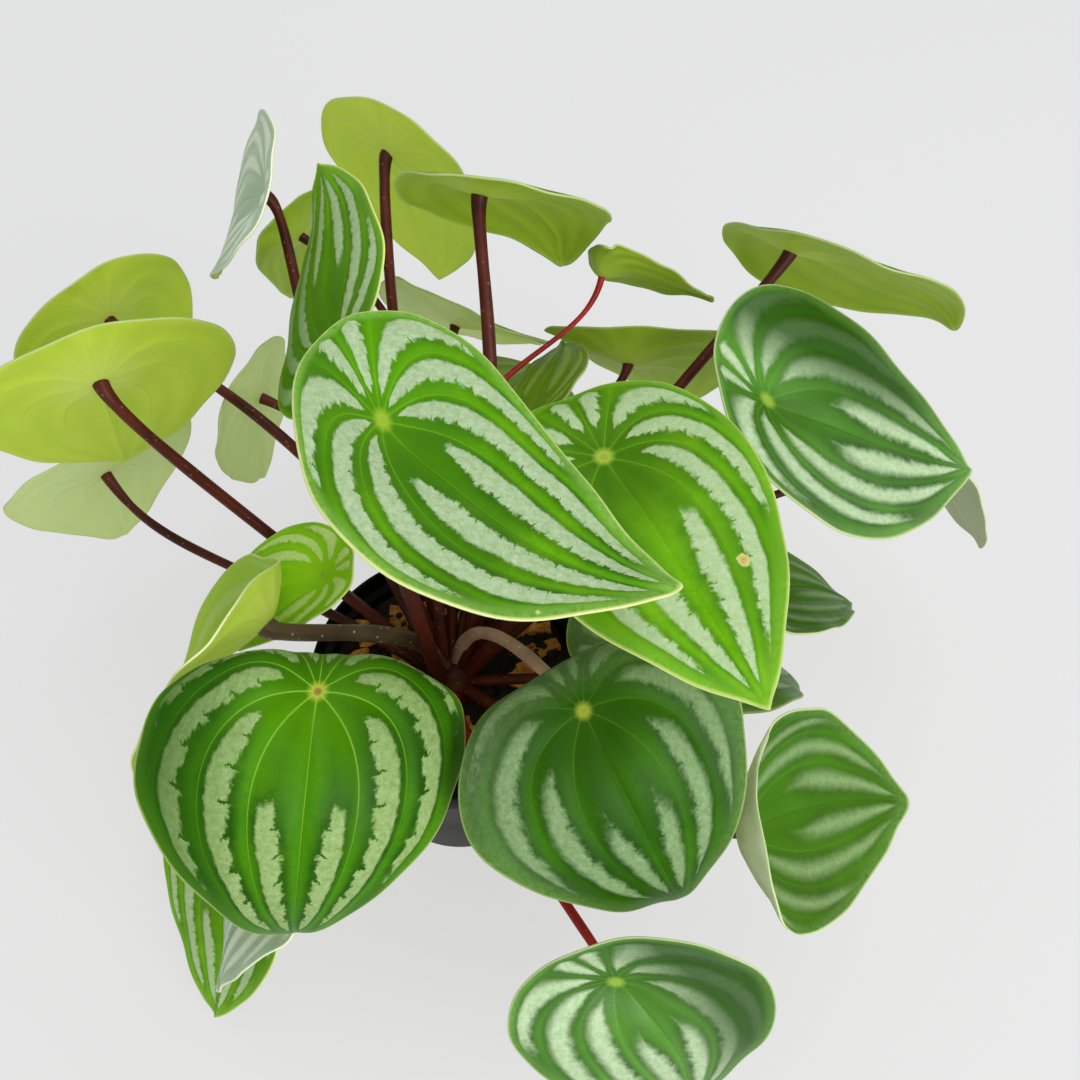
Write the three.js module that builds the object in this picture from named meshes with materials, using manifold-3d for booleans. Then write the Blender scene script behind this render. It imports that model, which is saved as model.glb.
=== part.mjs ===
// Watermelon peperomia in a round nursery pot, with twenty-nine shield-shaped leaves on long stalks.
// Millimetres and degrees, Z up, origin at the middle of the pot's underside.
import * as THREE from 'three';
import Module from 'manifold-3d';
import { mergeVertices } from 'three/addons/utils/BufferGeometryUtils.js';

const wasm = await Module();
wasm.setup();

// Clearance left between neighbouring pieces
const GAP = 0.3;

// Pot
const POT_HEIGHT = 80;
const POT_BASE_RADIUS = 32;
const POT_SHOULDER_RADIUS = 43.6;
const LIP_RADIUS = 46;
const LIP_DEPTH = 8;
const LIP_STEP = 1;
const WALL = 1.5;
const FLOOR = 2;
const POT_SIDES = 48;
const DRAIN_HOLES = 6;
const DRAIN_RADIUS = 3;
const DRAIN_CIRCLE_RADIUS = 22;
const DRAIN_SIDES = 12;
const BASE_CHAMFER = 1;
const LIP_CHAMFER = 0.5;

// Potting mix
const MIX_TOP = 69;
const MIX_RINGS = 4;
const MIX_UNEVENNESS = 1;
// Turn of the waves in its top for each millimetre across and back
const MIX_WAVE_ACROSS = 0.31;
const MIX_WAVE_BACK = 0.27;
const BARK_CHIPS = 16;
const BARK_LENGTH = 9;
const BARK_WIDTH = 5;
const BARK_THICKNESS = 2.4;
const BARK_NEAREST = 16;
const BARK_SPREAD = 20;
// Turn from one chip to the next, in radians
const BARK_TURN = 2.4;
const BARK_TILT = 0.25;
const BARK_RISE = 0.6;

// Rootstock, where every stalk starts
const ROOTSTOCK_RADIUS = 9;
const ROOTSTOCK_BOTTOM = 50;
const ROOTSTOCK_SHOULDER = 71;
const ROOTSTOCK_TOP = 77;
const ROOTSTOCK_NECK_RADIUS = 6.3;
const ROOTSTOCK_DOME = 2;
const ROOTSTOCK_SIDES = 16;
// The hole for it runs on this far above the potting mix
const HOLE_OVERRUN = 10;
const HOLE_SIDES = 24;
const STALK_START_RADIUS = 4;
const STALK_START_HEIGHT = 71;
const STALK_SIDES = 6;
const STALK_STEPS = 9;

// Leaf blades
const BLADE_THICKNESS = 1.2;
const RIM_THICKNESS = 0.8;
const RIM_POINTS = 18;
const RING_SHARES = [0.22, 0.5, 0.78, 1];
const BEND_STEPS = 24;
// Spread of the dimple above the stalk, as a share of the blade's length
const DIMPLE_SPREAD = 0.11;
// How strongly the outline narrows to the tip, against a square root at the heel
const TIP_TAPER = 0.85;
// The tip starts to beak at this share of the way from the stalk to the tip
const BEAK_START = 0.7;

// Each leaf: the point where its stalk meets it, the way its tip points, how far the tip dips and the blade
// rolls, its size, and how the blade bends. Droop is toward the tip, lift is at the heel, and curl is the
// rise of each side. A stalk leaves the rootstock at a compass angle and a rise, and both its ends run
// straight on for about the given reach.
const LEAVES = [
  {
    name: 'leaf_01', at: [-8, -3, 206], heading: -34, pitch: 20, roll: -20, length: 108, width: 76,
    droop: -18, lift: -13, curlLeft: 7, curlRight: 4, twist: -6, bow: -10, beak: -7, heel: 0.23, dimple: 6,
    stalk: { launch: -145, rise: 85, reachOut: 106, reachIn: 14, radius: 2.4 },
  },
  {
    name: 'leaf_02', at: [47, 16, 169], heading: -63, pitch: -3, roll: 0, length: 106, width: 75,
    droop: 25, lift: -19, curlLeft: -6, curlRight: 9, twist: 0, bow: -2, beak: 0, heel: 0.23, dimple: 5,
    stalk: { launch: 15, rise: 60, reachOut: 82, reachIn: 14, radius: 2.3 },
  },
  {
    name: 'leaf_03', at: [98, 51, 153], heading: -4, pitch: 26, roll: 4, length: 96, width: 85,
    droop: -3, lift: 1, curlLeft: 16, curlRight: 12, twist: 2, bow: -4, beak: 0, heel: 0.23, dimple: 5,
    stalk: { launch: 30, rise: 30, reachOut: 84, reachIn: 28, radius: 2.2 },
  },
  {
    name: 'leaf_04', at: [-28, -44, 147], heading: -89, pitch: 14, roll: -15, length: 89, width: 91,
    droop: 90, lift: -120, curlLeft: -38, curlRight: -38, twist: -6, bow: -2, beak: 0, heel: 0.2, dimple: 6,
    stalk: { launch: -130, rise: 50, reachOut: 70, reachIn: 6, radius: 2.3 },
  },
  {
    name: 'leaf_05', at: [41, -46, 140], heading: -59, pitch: 23, roll: 13, length: 80, width: 84,
    droop: 68, lift: -92, curlLeft: -31, curlRight: -18, twist: 4, bow: -1, beak: 0, heel: 0.2, dimple: 5,
    stalk: { launch: 70, rise: 70, reachOut: 44, reachIn: 28, radius: 2.2 },
  },
  {
    name: 'leaf_06', at: [87, -63, 99], heading: 25, pitch: 36, roll: 26, length: 90, width: 66,
    droop: -25, lift: 100, curlLeft: 52, curlRight: 36, twist: 5, bow: 4, beak: 0, heel: 0.23, dimple: 4,
    stalk: { launch: -40, rise: 20, reachOut: 80, reachIn: 18, radius: 2 },
  },
  {
    name: 'leaf_07', at: [-33, 58, 167], heading: 90, pitch: -18, roll: -50, length: 82, width: 59,
    droop: -3, lift: 0, curlLeft: -13, curlRight: -7, twist: -10, bow: -5, beak: -15, heel: 0.23, dimple: 4,
    stalk: { launch: 110, rise: 55, reachOut: 76, reachIn: 20, radius: 1.8 },
  },
  {
    name: 'leaf_08', at: [-37, 11, 118], heading: 195, pitch: 25, roll: 0, length: 58, width: 38,
    droop: 44, lift: 0, curlLeft: 16, curlRight: 11, twist: -4, bow: -1, beak: 0, heel: 0.23, dimple: 4,
    stalk: { launch: 160, rise: 50, reachOut: 44, reachIn: 8, radius: 1.5 },
  },
  {
    name: 'leaf_09', at: [-49, -14, 130], heading: 212, pitch: 39, roll: 58, length: 88, width: 72,
    droop: 13, lift: 40, curlLeft: 3, curlRight: 72, twist: -5, bow: -2, beak: 0, heel: 0.23, dimple: 4,
    stalk: { launch: 130, rise: 85, reachOut: 36, reachIn: 8, radius: 2.9 },
  },
  {
    name: 'leaf_10', at: [-117, 103, 136], heading: 130, pitch: 77, roll: -6, length: 90, width: 70,
    droop: 25, lift: 13, curlLeft: 10, curlRight: 8, twist: 8, bow: -1, beak: 0, heel: 0.23, dimple: 4,
    stalk: { launch: 120, rise: 65, reachOut: 96, reachIn: 12, radius: 1.9 },
  },
  {
    name: 'leaf_11', at: [-94, 39, 174], heading: 128, pitch: 71, roll: 9, length: 89, width: 81,
    droop: -4, lift: 12, curlLeft: 10, curlRight: 0, twist: 5, bow: 0, beak: 0, heel: 0.23, dimple: 4,
    stalk: { launch: 145, rise: 20, reachOut: 86, reachIn: 14, radius: 2.1 },
  },
  {
    name: 'leaf_12', at: [-66, 83, 119], heading: 151, pitch: 79, roll: -11, length: 67, width: 58,
    droop: 8, lift: 16, curlLeft: -6, curlRight: 10, twist: 5, bow: -5, beak: 0, heel: 0.23, dimple: 4,
    stalk: { launch: 120, rise: 30, reachOut: 74, reachIn: 22, radius: 1.7 },
  },
  {
    name: 'leaf_13', at: [-123, 68, 96], heading: 131, pitch: 66, roll: 2, length: 76, width: 73,
    droop: 25, lift: 8, curlLeft: 10, curlRight: 10, twist: -2, bow: -3, beak: 0, heel: 0.23, dimple: 4,
    stalk: { launch: 155, rise: 20, reachOut: 82, reachIn: 36, radius: 1.8 },
  },
  {
    name: 'leaf_14', at: [-60, 124, 171], heading: 150, pitch: 55, roll: -27, length: 76, width: 65,
    droop: 14, lift: -6, curlLeft: 14, curlRight: 10, twist: -2, bow: -7, beak: -11, heel: 0.27, dimple: 4,
    stalk: { launch: 130, rise: 35, reachOut: 94, reachIn: 12, radius: 2 },
  },
  {
    name: 'leaf_15', at: [-22, 147, 170], heading: 43, pitch: 76, roll: -9, length: 88, width: 73,
    droop: 7, lift: 3, curlLeft: -4, curlRight: -6, twist: -8, bow: 4, beak: 0, heel: 0.23, dimple: 4,
    stalk: { launch: 110, rise: 35, reachOut: 48, reachIn: 6, radius: 2.1 },
  },
  {
    name: 'leaf_16', at: [-59, 154, 129], heading: 122, pitch: 69, roll: -26, length: 69, width: 43,
    droop: -1, lift: 25, curlLeft: 2, curlRight: 31, twist: 0, bow: -7, beak: 0, heel: 0.23, dimple: 4,
    stalk: { launch: 90, rise: 25, reachOut: 124, reachIn: 22, radius: 1.6 },
  },
  {
    name: 'leaf_17', at: [12, 93, 196], heading: 51, pitch: 45, roll: -16, length: 80, width: 63,
    droop: 22, lift: -13, curlLeft: -34, curlRight: -3, twist: -15, bow: -2, beak: 31, heel: 0.23, dimple: 4,
    stalk: { launch: 45, rise: 70, reachOut: 94, reachIn: 12, radius: 2.2 },
  },
  {
    name: 'leaf_18', at: [50, 106, 153], heading: -4, pitch: 14, roll: -48, length: 50, width: 37,
    droop: 11, lift: 59, curlLeft: -10, curlRight: 30, twist: 0, bow: 10, beak: 2, heel: 0.23, dimple: 4,
    stalk: { launch: 105, rise: 50, reachOut: 112, reachIn: 34, radius: 1 },
  },
  {
    name: 'leaf_19', at: [-1, 120, 117], heading: 11, pitch: 38, roll: -37, length: 61, width: 74,
    droop: -5, lift: 20, curlLeft: -27, curlRight: 1, twist: -12, bow: -5, beak: -9, heel: 0.38, dimple: 4,
    stalk: { launch: 130, rise: 90, reachOut: 84, reachIn: 4, radius: 1.8 },
  },
  {
    name: 'leaf_20', at: [24, 53, 141], heading: 73, pitch: 9, roll: -26, length: 58, width: 31,
    droop: 16, lift: 6, curlLeft: -10, curlRight: 10, twist: -3, bow: -5, beak: 0, heel: 0.23, dimple: 4,
    stalk: { launch: 55, rise: 45, reachOut: 72, reachIn: 4, radius: 1.5 },
  },
  {
    name: 'leaf_21', at: [60, 95, 123], heading: 53, pitch: 60, roll: -26, length: 81, width: 71,
    droop: -4, lift: 30, curlLeft: 32, curlRight: 32, twist: 13, bow: -4, beak: 0, heel: 0.23, dimple: 4,
    stalk: { launch: 60, rise: 25, reachOut: 86, reachIn: 6, radius: 1.8 },
  },
  {
    name: 'leaf_22', at: [112, 112, 158], heading: -10, pitch: 23, roll: -42, length: 85, width: 81,
    droop: -5, lift: -19, curlLeft: -42, curlRight: -2, twist: -15, bow: -6, beak: 32, heel: 0.24, dimple: 4,
    stalk: { launch: 55, rise: 35, reachOut: 44, reachIn: 10, radius: 2.2 },
  },
  {
    name: 'leaf_23', at: [151, 80, 105], heading: -21, pitch: 42, roll: -44, length: 84, width: 60,
    droop: 15, lift: 9, curlLeft: -4, curlRight: 10, twist: -1, bow: 2, beak: 0, heel: 0.23, dimple: 4,
    stalk: { launch: 45, rise: 45, reachOut: 74, reachIn: 54, radius: 1.8 },
  },
  {
    name: 'leaf_24', at: [104, 28, 77], heading: 19, pitch: 26, roll: -12, length: 62, width: 52,
    droop: 21, lift: 9, curlLeft: 11, curlRight: 11, twist: -1, bow: 3, beak: 0, heel: 0.23, dimple: 4,
    stalk: { launch: 30, rise: 55, reachOut: 82, reachIn: 16, radius: 1.7 },
  },
  {
    name: 'leaf_25', at: [61, -5, 94], heading: 19, pitch: 20, roll: -15, length: 97, width: 65,
    droop: 48, lift: -14, curlLeft: 9, curlRight: 5, twist: 0, bow: -1, beak: 0, heel: 0.23, dimple: 4,
    stalk: { launch: -10, rise: 25, reachOut: 44, reachIn: 10, radius: 1.8 },
  },
  {
    name: 'leaf_26', at: [50, -102, 91], heading: -51, pitch: 50, roll: 26, length: 76, width: 67,
    droop: 34, lift: 0, curlLeft: 11, curlRight: 10, twist: 0, bow: 6, beak: 0, heel: 0.23, dimple: 4,
    stalk: { launch: -80, rise: 25, reachOut: 42, reachIn: 6, radius: 1.6 },
  },
  {
    name: 'leaf_27', at: [-75, -47, 44], heading: -97, pitch: 37, roll: 26, length: 76, width: 56,
    droop: 17, lift: 8, curlLeft: 10, curlRight: -6, twist: 2, bow: 6, beak: 0, heel: 0.23, dimple: 4,
    stalk: { launch: -175, rise: 35, reachOut: 88, reachIn: 34, radius: 1.8 },
  },
  {
    name: 'leaf_28', at: [-43, -72, 78], heading: -146, pitch: 44, roll: 25, length: 65, width: 46,
    droop: 22, lift: 2, curlLeft: 10, curlRight: 4, twist: 7, bow: -6, beak: 0, heel: 0.23, dimple: 4,
    stalk: { launch: -100, rise: 30, reachOut: 64, reachIn: 20, radius: 1.8 },
  },
  {
    name: 'leaf_29', at: [15, 90, 107], heading: 66, pitch: 35, roll: 0, length: 65, width: 53,
    droop: -4, lift: 21, curlLeft: 24, curlRight: 12, twist: 10, bow: 3, beak: 0, heel: 0.23, dimple: 4,
    stalk: { launch: 80, rise: 20, reachOut: 76, reachIn: 10, radius: 1.5 },
  },
];

// Materials, with the colours seen in daylight
const blackPlastic = new THREE.MeshStandardMaterial({ color: 0x1c1c1b, roughness: 0.55, metalness: 0 });
const darkSoil = new THREE.MeshStandardMaterial({ color: 0x2e2019, roughness: 0.95, metalness: 0 });
const maroonStalk = new THREE.MeshStandardMaterial({ color: 0x4a2430, roughness: 0.5, metalness: 0 });
const greenBlade = new THREE.MeshStandardMaterial({ color: 0x4f8f2c, roughness: 0.45, metalness: 0 });

const { sin, cos, abs, sign, exp, sqrt, hypot, PI } = Math;
const radians = THREE.MathUtils.degToRad;
const clamp = THREE.MathUtils.clamp;

// Welds a geometry's points, drops empty triangles and turns the faces outward
function closedGeometry(geometry) {
  geometry.deleteAttribute('normal');
  geometry.deleteAttribute('uv');
  const welded = mergeVertices(geometry, 1e-4);
  const points = welded.getAttribute('position');
  const kept = [];
  let volume = 0;
  for (let i = 0; i < welded.index.count; i += 3) {
    const corners = [0, 1, 2].map((k) => welded.index.getX(i + k));
    if (new Set(corners).size === 3) {
      const [a, b, c] = corners.map((k) => new THREE.Vector3().fromBufferAttribute(points, k));
      volume += a.dot(b.cross(c)) / 6;
      kept.push(corners);
    }
  }
  const outward = volume > 0 ? kept : kept.map((corners) => [...corners].reverse());
  welded.setIndex(outward.flat());
  return welded;
}

function solidFrom(geometry) {
  const closed = closedGeometry(geometry);
  return new wasm.Manifold(
    new wasm.Mesh({
      numProp: 3,
      vertProperties: new Float32Array(closed.getAttribute('position').array),
      triVerts: new Uint32Array(closed.index.array),
    }),
  );
}

function geometryFrom(solid) {
  const { vertProperties, triVerts } = solid.getMesh();
  const geometry = new THREE.BufferGeometry();
  geometry.setAttribute('position', new THREE.Float32BufferAttribute(vertProperties, 3));
  geometry.setIndex(Array.from(triVerts));
  return geometry;
}

// Turns a profile of [radius, height] points round the Z axis
function lathed(profile, sides) {
  const points = profile.map(([radius, height]) => new THREE.Vector2(radius, height));
  return new THREE.LatheGeometry(points, sides).rotateX(PI / 2);
}

function uprightCylinder(radius, height, sides, x, y, z) {
  return new THREE.CylinderGeometry(radius, radius, height, sides).rotateX(PI / 2).translate(x, y, z);
}

// Inside radius of the pot at a height above its floor
function potInsideRadius(height) {
  const share = height / (POT_HEIGHT - LIP_DEPTH);
  return POT_BASE_RADIUS + (POT_SHOULDER_RADIUS - POT_BASE_RADIUS) * share - WALL;
}

function potGeometry() {
  const shoulder = POT_HEIGHT - LIP_DEPTH;
  const profile = [
    [0, 0],
    [POT_BASE_RADIUS - BASE_CHAMFER, 0],
    [POT_BASE_RADIUS, BASE_CHAMFER],
    [POT_SHOULDER_RADIUS, shoulder - LIP_STEP],
    [LIP_RADIUS, shoulder],
    [LIP_RADIUS, POT_HEIGHT - LIP_CHAMFER],
    [LIP_RADIUS - LIP_CHAMFER, POT_HEIGHT],
    [LIP_RADIUS - WALL, POT_HEIGHT],
    [LIP_RADIUS - WALL, shoulder + LIP_STEP],
    [potInsideRadius(shoulder), shoulder],
    [potInsideRadius(FLOOR), FLOOR],
    [0, FLOOR],
  ];
  let pot = solidFrom(lathed(profile, POT_SIDES));
  for (let i = 0; i < DRAIN_HOLES; i++) {
    const angle = (2 * PI * i) / DRAIN_HOLES;
    const x = DRAIN_CIRCLE_RADIUS * cos(angle);
    const y = DRAIN_CIRCLE_RADIUS * sin(angle);
    const hole = uprightCylinder(DRAIN_RADIUS, 3 * FLOOR, DRAIN_SIDES, x, y, FLOOR / 2);
    pot = pot.subtract(solidFrom(hole));
  }
  return geometryFrom(pot);
}

// Potting mix with an uneven top, bark chips and a plain hole for the rootstock
function pottingMixGeometry() {
  const bottom = FLOOR + GAP;
  const profile = [[0, bottom], [potInsideRadius(bottom) - GAP, bottom]];
  for (let i = 0; i <= MIX_RINGS; i++) {
    profile.push([(potInsideRadius(MIX_TOP) - GAP) * (1 - i / MIX_RINGS), MIX_TOP]);
  }
  const body = lathed(profile, POT_SIDES);
  const points = body.getAttribute('position');
  for (let i = 0; i < points.count; i++) {
    if (points.getZ(i) > MIX_TOP - GAP) {
      const rise = sin(points.getX(i) * MIX_WAVE_ACROSS) + cos(points.getY(i) * MIX_WAVE_BACK);
      points.setZ(i, MIX_TOP + (MIX_UNEVENNESS * rise) / 2);
    }
  }
  let mix = solidFrom(body);
  for (let i = 0; i < BARK_CHIPS; i++) {
    mix = mix.add(solidFrom(barkChip(i)));
  }
  const holeDepth = MIX_TOP + HOLE_OVERRUN - ROOTSTOCK_BOTTOM + GAP;
  const holeMiddle = ROOTSTOCK_BOTTOM - GAP + holeDepth / 2;
  const hole = uprightCylinder(ROOTSTOCK_RADIUS + GAP, holeDepth, HOLE_SIDES, 0, 0, holeMiddle);
  return geometryFrom(mix.subtract(solidFrom(hole)));
}

// One bark chip, half sunk in the mix and turned its own way
function barkChip(i) {
  const angle = i * BARK_TURN;
  const radius = BARK_NEAREST + ((i * 7) % BARK_SPREAD);
  const length = BARK_LENGTH - ((i * 3) % 4);
  const chip = new THREE.BoxGeometry(length, BARK_WIDTH, BARK_THICKNESS);
  chip.rotateX(BARK_TILT * sin(i * 1.7));
  chip.rotateZ(i * 1.3);
  return chip.translate(radius * cos(angle), radius * sin(angle), MIX_TOP + BARK_RISE);
}

// Half width of a blade at a point of its rim
function rimHalfWidth(leaf, along) {
  const widest = (0.5 - TIP_TAPER) / (0.5 + TIP_TAPER);
  const full = sqrt(1 + widest) * (1 - widest) ** TIP_TAPER;
  return (sqrt(1 + along) * (1 - along) ** TIP_TAPER * leaf.width) / 2 / full;
}

// The flat outline, from the tip round the left side to the heel and back
function rimPoint(leaf, i) {
  const angle = (2 * PI * i) / RIM_POINTS;
  const along = clamp(cos(angle), -1, 1);
  const side = i % (RIM_POINTS / 2) === 0 ? 0 : sign(sin(angle));
  return [leaf.length * ((along + 1) / 2 - leaf.heel), side * rimHalfWidth(leaf, along)];
}

// Slope of the blade's midrib at x, toward the tip or toward the heel
function ribSlope(leaf, x) {
  const tipShare = x / (leaf.length * (1 - leaf.heel));
  const heelShare = -x / (leaf.length * leaf.heel);
  if (x < 0) {
    return radians(leaf.lift) * clamp(heelShare, 0, 2);
  }
  const beakShare = clamp((tipShare - BEAK_START) / (1 - BEAK_START), 0, 1.2);
  return radians(leaf.droop) * clamp(tipShare, 0, 2) ** 1.5 + radians(leaf.beak) * beakShare;
}

// Where a point of the flat blade comes to lie once the blade is bent, with the stalk's joint at the origin
function bentPoint(leaf, x, y) {
  const tipShare = x / (leaf.length * (1 - leaf.heel));
  const curl = radians(y > 0 ? leaf.curlLeft : leaf.curlRight) / (leaf.width / 2);
  const bend = abs(curl) < 1e-6 ? 1e-6 : curl;
  const flatSide = (sign(y) * sin(bend * abs(y))) / bend;
  const flatRise = (1 - cos(bend * abs(y))) / bend;
  const turn = radians(leaf.twist) * clamp(tipShare, 0, 1.5) ** 2;
  const side = flatSide * cos(turn) - flatRise * sin(turn);
  const dimple = leaf.dimple * (1 - exp(-(x * x + y * y) / (2 * (DIMPLE_SPREAD * leaf.length) ** 2)));
  const rise = flatSide * sin(turn) + flatRise * cos(turn) + dimple;
  const bow = leaf.bow * 4 * tipShare * (tipShare > 0 ? 1 - tipShare : 1);
  let along = 0;
  let height = 0;
  for (let i = 0; i < BEND_STEPS; i++) {
    const slope = ribSlope(leaf, (x * (i + 0.5)) / BEND_STEPS);
    along += (cos(slope) * x) / BEND_STEPS;
    height -= (sin(slope) * x) / BEND_STEPS;
  }
  const slope = ribSlope(leaf, x);
  return new THREE.Vector3(along + rise * sin(slope), side + bow, height + rise * cos(slope));
}

// Upward normal of the bent blade
function bentNormal(leaf, x, y) {
  const step = 0.5;
  const here = bentPoint(leaf, x, y);
  const ahead = bentPoint(leaf, x + step, y).sub(here);
  const across = bentPoint(leaf, x, y + step).sub(here);
  return ahead.cross(across).normalize();
}

// A closed blade: the same fan of rings above and below the bent middle face, joined round the rim
function bladeGeometry(leaf) {
  const n = RIM_POINTS;
  const flat = [[0, 0]];
  for (const share of RING_SHARES) {
    for (let i = 0; i < n; i++) {
      const [x, y] = rimPoint(leaf, i);
      flat.push([x * share, y * share]);
    }
  }
  const rimStart = flat.length - n;
  const positions = [];
  for (const face of [1, -1]) {
    flat.forEach(([x, y], k) => {
      const thickness = k < rimStart ? BLADE_THICKNESS : RIM_THICKNESS;
      const offset = bentNormal(leaf, x, y).multiplyScalar((face * thickness) / 2);
      positions.push(...bentPoint(leaf, x, y).add(offset).toArray());
    });
  }
  const under = flat.length;
  const index = [];
  const addFace = (a, b, c) => index.push(a, b, c, under + a, under + c, under + b);
  for (let i = 0; i < n; i++) {
    const next = (i + 1) % n;
    addFace(0, 1 + i, 1 + next);
    for (let start = 1; start < rimStart; start += n) {
      addFace(start + i, start + n + i, start + n + next);
      addFace(start + i, start + n + next, start + next);
    }
    const [a, b] = [rimStart + i, rimStart + next];
    index.push(a, under + a, under + b, a, under + b, b);
  }
  const geometry = new THREE.BufferGeometry();
  geometry.setAttribute('position', new THREE.Float32BufferAttribute(positions, 3));
  geometry.setIndex(index);
  return geometry;
}

// The blade's turn: heading about Z, then pitch, then roll about its own midrib
function bladeTurn(leaf) {
  return new THREE.Euler(radians(leaf.roll), radians(leaf.pitch), radians(leaf.heading), 'ZYX');
}

// One stalk, from inside the rootstock to just under the blade
function stalkGeometry(leaf) {
  const { launch, rise, reachOut, reachIn, radius } = leaf.stalk;
  const [compass, climb] = [radians(launch), radians(rise)];
  const normal = new THREE.Vector3(0, 0, 1).applyEuler(bladeTurn(leaf));
  const start = new THREE.Vector3(cos(compass), sin(compass), 0).multiplyScalar(STALK_START_RADIUS);
  start.z = STALK_START_HEIGHT;
  const outward = new THREE.Vector3(cos(climb) * cos(compass), cos(climb) * sin(compass), sin(climb));
  const end = new THREE.Vector3(...leaf.at).addScaledVector(normal, -(BLADE_THICKNESS / 2 + GAP));
  const path = new THREE.CubicBezierCurve3(
    start,
    start.clone().addScaledVector(outward, reachOut),
    end.clone().addScaledVector(normal, -reachIn),
    end,
  );
  const section = new THREE.Shape().absarc(0, 0, radius, 0, 2 * PI);
  return new THREE.ExtrudeGeometry(section, {
    steps: STALK_STEPS,
    // A full circle gets two sides for each of these
    curveSegments: STALK_SIDES / 2,
    bevelEnabled: false,
    extrudePath: path,
  });
}

function crownGeometry() {
  const profile = [
    [0, ROOTSTOCK_BOTTOM],
    [ROOTSTOCK_RADIUS, ROOTSTOCK_BOTTOM],
    [ROOTSTOCK_RADIUS, ROOTSTOCK_SHOULDER],
    [ROOTSTOCK_NECK_RADIUS, ROOTSTOCK_TOP - ROOTSTOCK_DOME],
    [0, ROOTSTOCK_TOP],
  ];
  let crown = solidFrom(lathed(profile, ROOTSTOCK_SIDES));
  for (const leaf of LEAVES) {
    crown = crown.add(solidFrom(stalkGeometry(leaf)));
  }
  return geometryFrom(crown);
}

function named(name, geometry, material) {
  const mesh = new THREE.Mesh(geometry, material);
  mesh.name = name;
  return mesh;
}

const plant = new THREE.Group();
plant.add(named('pot', potGeometry(), blackPlastic));
plant.add(named('potting_mix', pottingMixGeometry(), darkSoil));
plant.add(named('crown_and_stalks', crownGeometry(), maroonStalk));
for (const leaf of LEAVES) {
  const blade = named(leaf.name, bladeGeometry(leaf), greenBlade);
  blade.position.set(...leaf.at);
  blade.rotation.copy(bladeTurn(leaf));
  plant.add(blade);
}

export default plant;
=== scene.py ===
# Watermelon peperomia in a black nursery pot: the looks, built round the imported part.
import math

import bpy
import numpy as np
from mathutils import Euler, Matrix, Vector, noise


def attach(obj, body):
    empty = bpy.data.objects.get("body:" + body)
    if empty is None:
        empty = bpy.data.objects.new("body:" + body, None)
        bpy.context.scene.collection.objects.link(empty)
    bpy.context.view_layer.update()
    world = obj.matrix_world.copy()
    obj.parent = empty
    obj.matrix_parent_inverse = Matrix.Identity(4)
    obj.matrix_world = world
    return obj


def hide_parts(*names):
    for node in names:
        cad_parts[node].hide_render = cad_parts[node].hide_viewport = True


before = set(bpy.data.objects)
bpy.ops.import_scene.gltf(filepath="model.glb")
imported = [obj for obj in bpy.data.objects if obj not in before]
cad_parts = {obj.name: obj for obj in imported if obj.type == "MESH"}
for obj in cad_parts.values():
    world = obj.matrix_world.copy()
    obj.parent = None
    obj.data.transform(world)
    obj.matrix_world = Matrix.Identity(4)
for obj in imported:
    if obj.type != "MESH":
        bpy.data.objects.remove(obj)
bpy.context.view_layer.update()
mm = 0.001
scene = bpy.context.scene


# Materials

def linear(hexColour):
    # sRGB hex to the linear values that Blender's sockets take
    values = [int(hexColour[i:i + 2], 16) / 255 for i in (1, 3, 5)]
    return [v / 12.92 if v <= 0.04045 else ((v + 0.055) / 1.055) ** 2.4 for v in values] + [1]


def addNode(tree, kind, links=(), **settings):
    # adds one shader node: links gives its sockets, in order or by name, a node, a socket or a plain value
    made = tree.nodes.new("ShaderNode" + kind)
    for key, value in settings.items():
        setattr(made, key, value)
    for key, value in links.items() if isinstance(links, dict) else enumerate(links):
        if isinstance(value, bpy.types.Node):
            value = value.outputs[0]
        if isinstance(value, bpy.types.NodeSocket):
            tree.links.new(value, made.inputs[key])
        else:
            made.inputs[key].default_value = value
    return made


def newMaterial(name):
    material = bpy.data.materials.new(name)
    material.use_nodes = True
    material.node_tree.nodes.clear()
    return material, material.node_tree


veinPlan = dict(
    frontLanes=3.6,     # main veins on each side of the midrib, toward the tip
    heelLanes=1.4,      # the further ones that crowd into the heel
    wander=0.3,         # how far a band strays, in lanes
    wanderScale=2.6,    # how often it strays in a blade's length, so about every 35 mm
    rimFollow=1.4,      # how strongly a vein turns along the rim toward the tip
    rimFollowEnd=0.85,  # no turning past this share of the way from midrib to heel
    lineShare=0.008,    # half width of a vein's pale line, as a share of the blade's length
)
smooth = dict(interpolation_type="SMOOTHSTEP")
inColour = dict(data_type="RGBA")


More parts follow.
